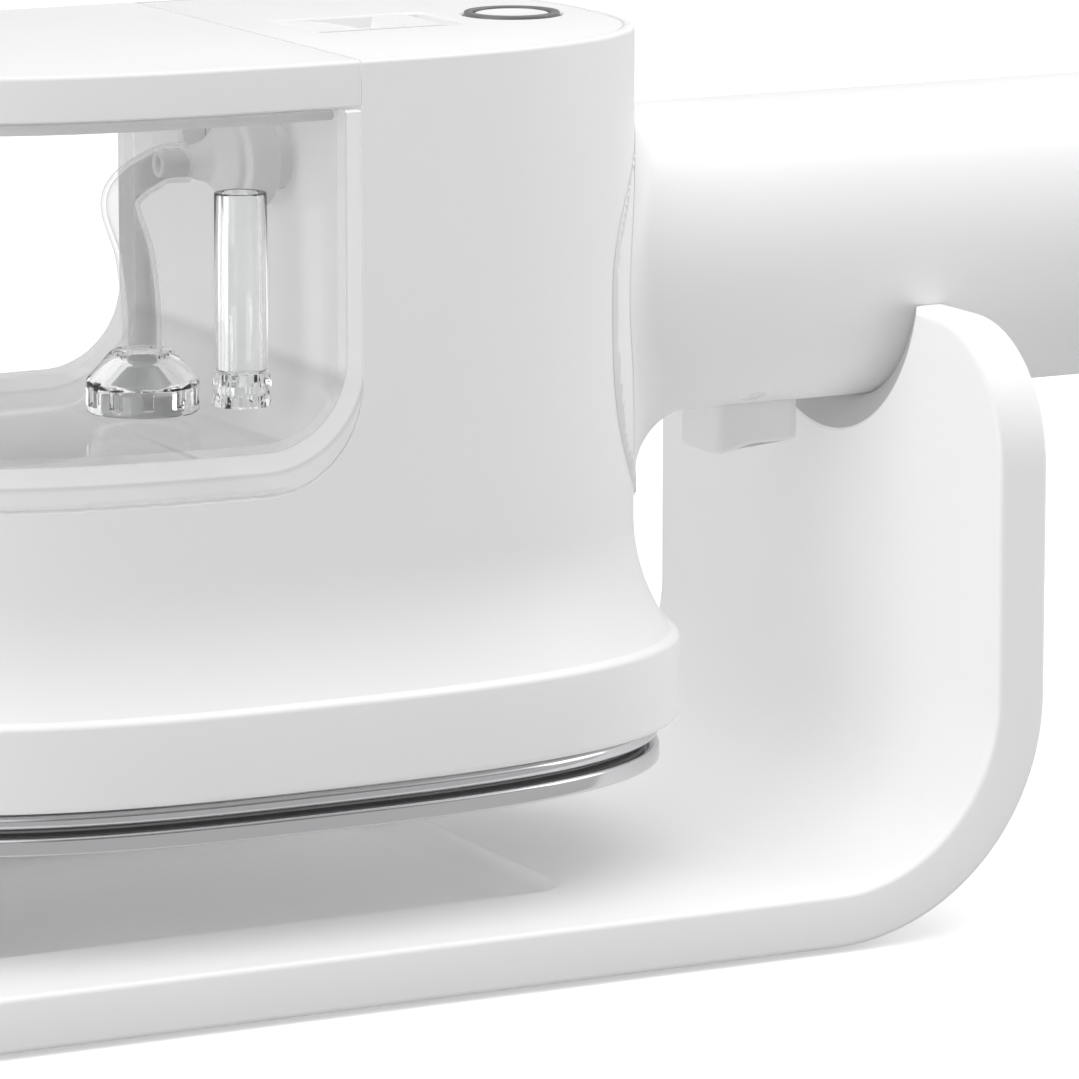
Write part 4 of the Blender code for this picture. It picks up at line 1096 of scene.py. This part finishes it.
def smooth_path(knots):
    """Points of a smooth curve through the knots."""
    steps = 10
    points = []
    knots = [Vector(k) for k in knots]
    ends = [knots[0] * 2 - knots[1]] + knots + [knots[-1] * 2 - knots[-2]]
    for a, b, c, d in zip(ends, ends[1:], ends[2:], ends[3:]):
        for i in range(steps):
            t = i / steps
            points.append(0.5 * (2 * b + (c - a) * t + (2 * a - 5 * b + 4 * c - d) * t * t
                                 + (3 * b - a - 3 * c + d) * t ** 3))
    return points + [knots[-1]]


def edge_line(name, points):
    """An object of vertices joined in a chain, from points in millimetres."""
    mesh = bpy.data.meshes.new(name)
    mesh.from_pydata([Vector(p) * MM for p in points], [(i, i + 1) for i in range(len(points) - 1)], [])
    return placed(name, mesh)


SWEEP = shape_tree("sweep_hose", {"Line": "Geometry", "Radius": "Float", "Sides": "Int"},
                   {"line": "MeshToCurve", "circle": "CurvePrimitiveCircle", "sweep": "CurveToMesh"},
                   [("given", "Line", "line", 0), ("given", "Radius", "circle", "Radius"),
                    ("given", "Sides", "circle", "Resolution"), ("line", 0, "sweep", "Curve"),
                    ("circle", 0, "sweep", "Profile Curve")])
hose_plastic = clear_shell("hose_plastic", (0.90, 0.90, 0.90), 0.10, 0.75)
barb_tip = inner_face - 11.0
hose_knots = [(barb_tip, PORT_Y, PORT_Z), (barb_tip - 4.0, PORT_Y, PORT_Z - 0.4),
              (FILTER_AT[0] - 4.5, PORT_Y + 1.0, 101.5), (FILTER_AT[0] - 2.0, PORT_Y + 2.5, 94.0),
              (*FILTER_AT, 86.0), (*FILTER_AT, 81.2)]
suction_hose = edge_line("suction_hose", smooth_path(hose_knots))
with_tree(suction_hose, SWEEP, Radius=HOSE * MM, Sides=40, Finish=hose_plastic)
hose_wall = suction_hose.modifiers.new("wall", "SOLIDIFY")
hose_wall.thickness = HOSE_WALL * MM
hose_wall.offset = -1.0
settle(suction_hose)
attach(suction_hose, "tank")
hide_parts("suction_tube")


# ---------------------------------------------------------------- filter and sinker
# At the hose's end hangs a clear ribbed cage over a dark sinker, which keeps the inlet on the
# floor of the tank.
cage_profile = [(7.4, 72.9), (7.4, 77.0), (4.0, 80.9), (2.4, 80.9), (2.4, 79.0), (6.2, 76.0), (6.2, 72.9)]
cage_at = (*FILTER_AT, 0)
filter_cage = solid("filter_cage", turned(rounded(cage_profile, 0.4, 3), cage_at, hollow=True, steps=96))
CAGE_SLOTS = 10
slots = []
for step in range(CAGE_SLOTS):
    slot = shrunk_oblong((5.0, -0.7), (9.0, 0.7), 0.6, [(0.0, 73.9), (0.0, 76.4)], 4)
    round_cage = Matrix.Translation(cage_at) @ Matrix.Rotation(2 * math.pi * step / CAGE_SLOTS, 4, "Z")
    bmesh.ops.transform(slot, matrix=round_cage, verts=slot.verts)
    slots.append(slot)
carve(filter_cage, *slots)
filter_cage.data.materials.append(clear_plastic)
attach(filter_cage, "tank")
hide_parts("suction_filter")

sinker_profile = rounded([(5.0, 73.1), (5.4, 73.4), (5.4, 75.6), (2.0, 78.4)], 0.4, 3, closed=False)
sinker = solid("sinker", turned(sinker_profile, cage_at, steps=72))
sinker.data.materials.append(moulded("sinker_plastic", (0.34, 0.34, 0.345), 0.4))
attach(sinker, "tank")
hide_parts("filter_weight")


# ---------------------------------------------------------------- vent pipe
# A clear pipe that lets air in above the water, standing in a faceted clear foot.
VENT_AT = (-53.2, -21.0)
pipe_profile = rounded([(3.4, 80.0), (3.4, 103.0), (2.3, 103.0), (2.3, 80.0)], 0.3, 3)
vent_pipe = solid("vent_pipe", turned(pipe_profile, (*VENT_AT, 0), hollow=True, steps=64))
vent_pipe.data.materials.append(clear_plastic)
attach(vent_pipe, "tank")
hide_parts("vent_tube")

foot_rings = []
for radius, z in [(3.9, 75.4), (3.6, 76.8), (3.9, 78.2), (3.5, 79.7), (2.4, 79.7), (2.4, 75.4)]:
    ring = []
    for i in range(24):
        turn = 2 * math.pi * i / 24
        facet = radius if (i + round(z)) % 2 or radius < 3 else radius - 0.45
        ring.append((VENT_AT[0] + facet * math.cos(turn), VENT_AT[1] + facet * math.sin(turn), z))
    foot_rings.append(ring)
vent_foot = solid("vent_foot", skin(foot_rings, loop=True), sharp=8)
vent_foot.data.materials.append(clear_plastic)
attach(vent_foot, "tank")
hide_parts("vent_base")


# ---------------------------------------------------------------- tank socket
# Inside the head, a pale grey socket and a dark lip seal that the tank's spigot slides into.
socket_face = PART_X + GAP / 2
socket_at = (socket_face, PORT_Y, PORT_Z)
socket_profile = [(6.7, 0.2), (6.7, 2.6), (8.6, 2.6), (8.6, 4.6), (2.3, 5.6), (2.3, 10.0), (1.2, 10.0),
                  (1.2, 5.0), (5.0, 5.0), (5.0, 0.2)]
socket_body = turned(rounded(socket_profile, 0.3, 3), socket_at, "X", hollow=True, steps=72)
port_socket = solid("port_socket", socket_body)
port_socket.data.materials.append(grey_plastic)
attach(port_socket, "steamer")
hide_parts("tank_socket")
lip_profile = rounded([(4.7, 2.6), (4.7, 4.4), (3.3, 4.4), (3.3, 2.6)], 0.4, 4)
lip_seal = solid("lip_seal", turned(lip_profile, socket_at, "X", hollow=True))
lip_seal.data.materials.append(dark_seal)
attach(lip_seal, "steamer")
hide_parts("socket_seal")


# ---------------------------------------------------------------- springs
# Coil springs behind the trigger, the button and the latch, of plain spring steel. A node tree
# winds each one from its own sizes.
def wound_spring(name, replaced, place, lean, length, radius, wire, turns):
    """A spring from its place along its lean."""
    spring = edge_line(name, [place, place])
    with_tree(spring, SPRINGS, Turns=float(turns), Coil_Radius=radius * MM, Length=length * MM,
              Wire_Radius=wire * MM, Place=[c * MM for c in place], Lean=lean, Finish=steel)
    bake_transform(spring)
    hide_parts(replaced)


SPRING_INPUTS = {"Carrier": "Geometry", "Turns": "Float", "Coil Radius": "Float", "Length": "Float",
                 "Wire Radius": "Float", "Place": "Vector", "Lean": "Vector"}
SPRING_PARTS = {"spiral": "CurveSpiral", "circle": "CurvePrimitiveCircle", "sweep": "CurveToMesh",
                "move": "Transform"}
SPRING_LINKS = [("given", "Turns", "spiral", "Rotations"),
                ("given", "Coil Radius", "spiral", "Start Radius"),
                ("given", "Coil Radius", "spiral", "End Radius"),
                ("given", "Length", "spiral", "Height"), ("given", "Wire Radius", "circle", "Radius"),
                ("spiral", 0, "sweep", "Curve"), ("circle", 0, "sweep", "Profile Curve"),
                ("sweep", 0, "move", "Geometry"), ("given", "Place", "move", "Translation"),
                ("given", "Lean", "move", "Rotation")]
SPRING_FIXED = {"spiral": ("Resolution", 32), "circle": ("Resolution", 12), "sweep": ("Fill Caps", True)}
SPRINGS = shape_tree("wind_spring", SPRING_INPUTS, SPRING_PARTS, SPRING_LINKS, SPRING_FIXED)
steel = polished("steel", (0.60, 0.60, 0.62), 0.24, (900.0, 900.0, 900.0))
wound_spring("trigger_coil", "trigger_spring", (24.6, 0, 72.3), (0, 0, 0), 11.0, 1.7, 0.3, 5)
wound_spring("button_coil", "button_spring", (BUTTON_X, 0, 113.4), (0, 0, 0), 3.5, 2.6, 0.3, 3)
wound_spring("latch_coil", "latch_spring", (latch_high - 4.6, 0, 115.9), (0, math.pi / 2, 0), 5.0, 0.9,
             0.25, 4)


# ---------------------------------------------------------------- shield screws
# Four pan-head screws that hold the heat shield down on the chamber, one screw repeated.
SHIELD_SCREWS = ((-98.5, 0.0), (-50.0, -27.0), (-50.0, 27.0), (-4.0, 0.0))
CHAMBER_TOP = 40.0
SHIELD_HIGH = 52.0
screw_profile = rounded([(1.5, CHAMBER_TOP + GAP), (1.5, SHIELD_HIGH + GAP), (3.2, SHIELD_HIGH + GAP),
                         (3.2, SHIELD_HIGH + 1.8)], 0.4, 3, closed=False) + [(1.2, SHIELD_HIGH + 2.0)]
screw = solid("screw", turned(screw_profile, steps=32))
recess = [(0.0, SHIELD_HIGH + 0.9), (0.0, SHIELD_HIGH + 4)]
carve(screw, *[shrunk_oblong((-x, -y), (x, y), 0.1, recess, 2) for x, y in ((1.6, 0.35), (0.35, 1.6))])
shield_screws = repeated("shield_screws", screw, [(x, y, 0) for x, y in SHIELD_SCREWS], steel)
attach(shield_screws, "steamer")
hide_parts("shield_screw_1", "shield_screw_2", "shield_screw_3", "shield_screw_4")


# ---------------------------------------------------------------- inner works
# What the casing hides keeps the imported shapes: the chamber and its heater, the shield, the
# pump and hoses, the switches and the boards. Each only gets the finish of its material.
def cast(name, tint):
    """Sand-cast aluminium: grainy, dull, with darker hollows."""
    material, shader, value = new_material(name, {"Metallic": 1.0})
    pits = value.noise(1400.0, 4.0)
    skin_shade = value.blend(pits, (*[0.75 * c for c in tint], 1), (*tint, 1))
    return feed(material, shader, Base_Color=skin_shade, Roughness=0.4 + 0.2 * pits,
                Normal=value.bump(pits, 0.12, 0.7))


def wound_copper(name, tint):
    """Enamelled wire in close turns round an upright axis."""
    material, shader, value = new_material(name, {"Metallic": 1.0})
    turns = value.node("TexWave", {"bands_direction": "Z"},
                       {"Vector": value.place(), "Scale": 640.0, "Distortion": 0.3})
    base = value.blend(turns, (*[0.55 * c for c in tint], 1), (*tint, 1))
    return feed(material, shader, Base_Color=base, Roughness=0.5 - 0.25 * turns,
                Normal=value.bump(turns, 0.15, 0.9))


def circuit(name, tint):
    """Green board with paler tracks under its lacquer."""
    material, shader, value = new_material(name, {"Coat Weight": 0.3})
    tracks = value.node("TexBrick", {"offset": 0.5},
                        {"Vector": value.place(), "Scale": 180.0, "Mortar Size": 0.04}, 1)
    speckle = value.noise(700.0)
    base = value.blend(tracks, (*tint, 1), (*[1.9 * c for c in tint], 1))
    return feed(material, shader, Base_Color=base, Roughness=0.35 + 0.15 * speckle,
                Normal=value.bump(tracks, 0.03, 0.6))


INNER_FINISHES = (
    (cast("cast_aluminium", (0.60, 0.61, 0.62)), ("steam_chamber",)),
    (wound_copper("copper", (0.72, 0.36, 0.20)), ("pump_coil",)),
    (circuit("board", (0.05, 0.24, 0.13)), ("control_board", "button_board")),
    (polished("brass", (0.78, 0.60, 0.28), 0.25, (200.0, 200.0, 4000.0)), ("steam_nozzle",)),
    (steel, ("heating_element", "board_fuse")),
    (dark_plastic, ("handle_chassis", "power_relay", "trigger_switch", "button_switch", "thermostat",
                    "pump_body")),
    (grey_plastic, ("heat_shield", "thermal_fuse", "pump_bracket")),
    (grey_silicone, ("pump_mount_lower", "pump_mount_upper", "outlet_hose", "inlet_hose")),
)
for finish, names in INNER_FINISHES:
    for name in names:
        nodes[name].data.materials.clear()
        nodes[name].data.materials.append(finish)
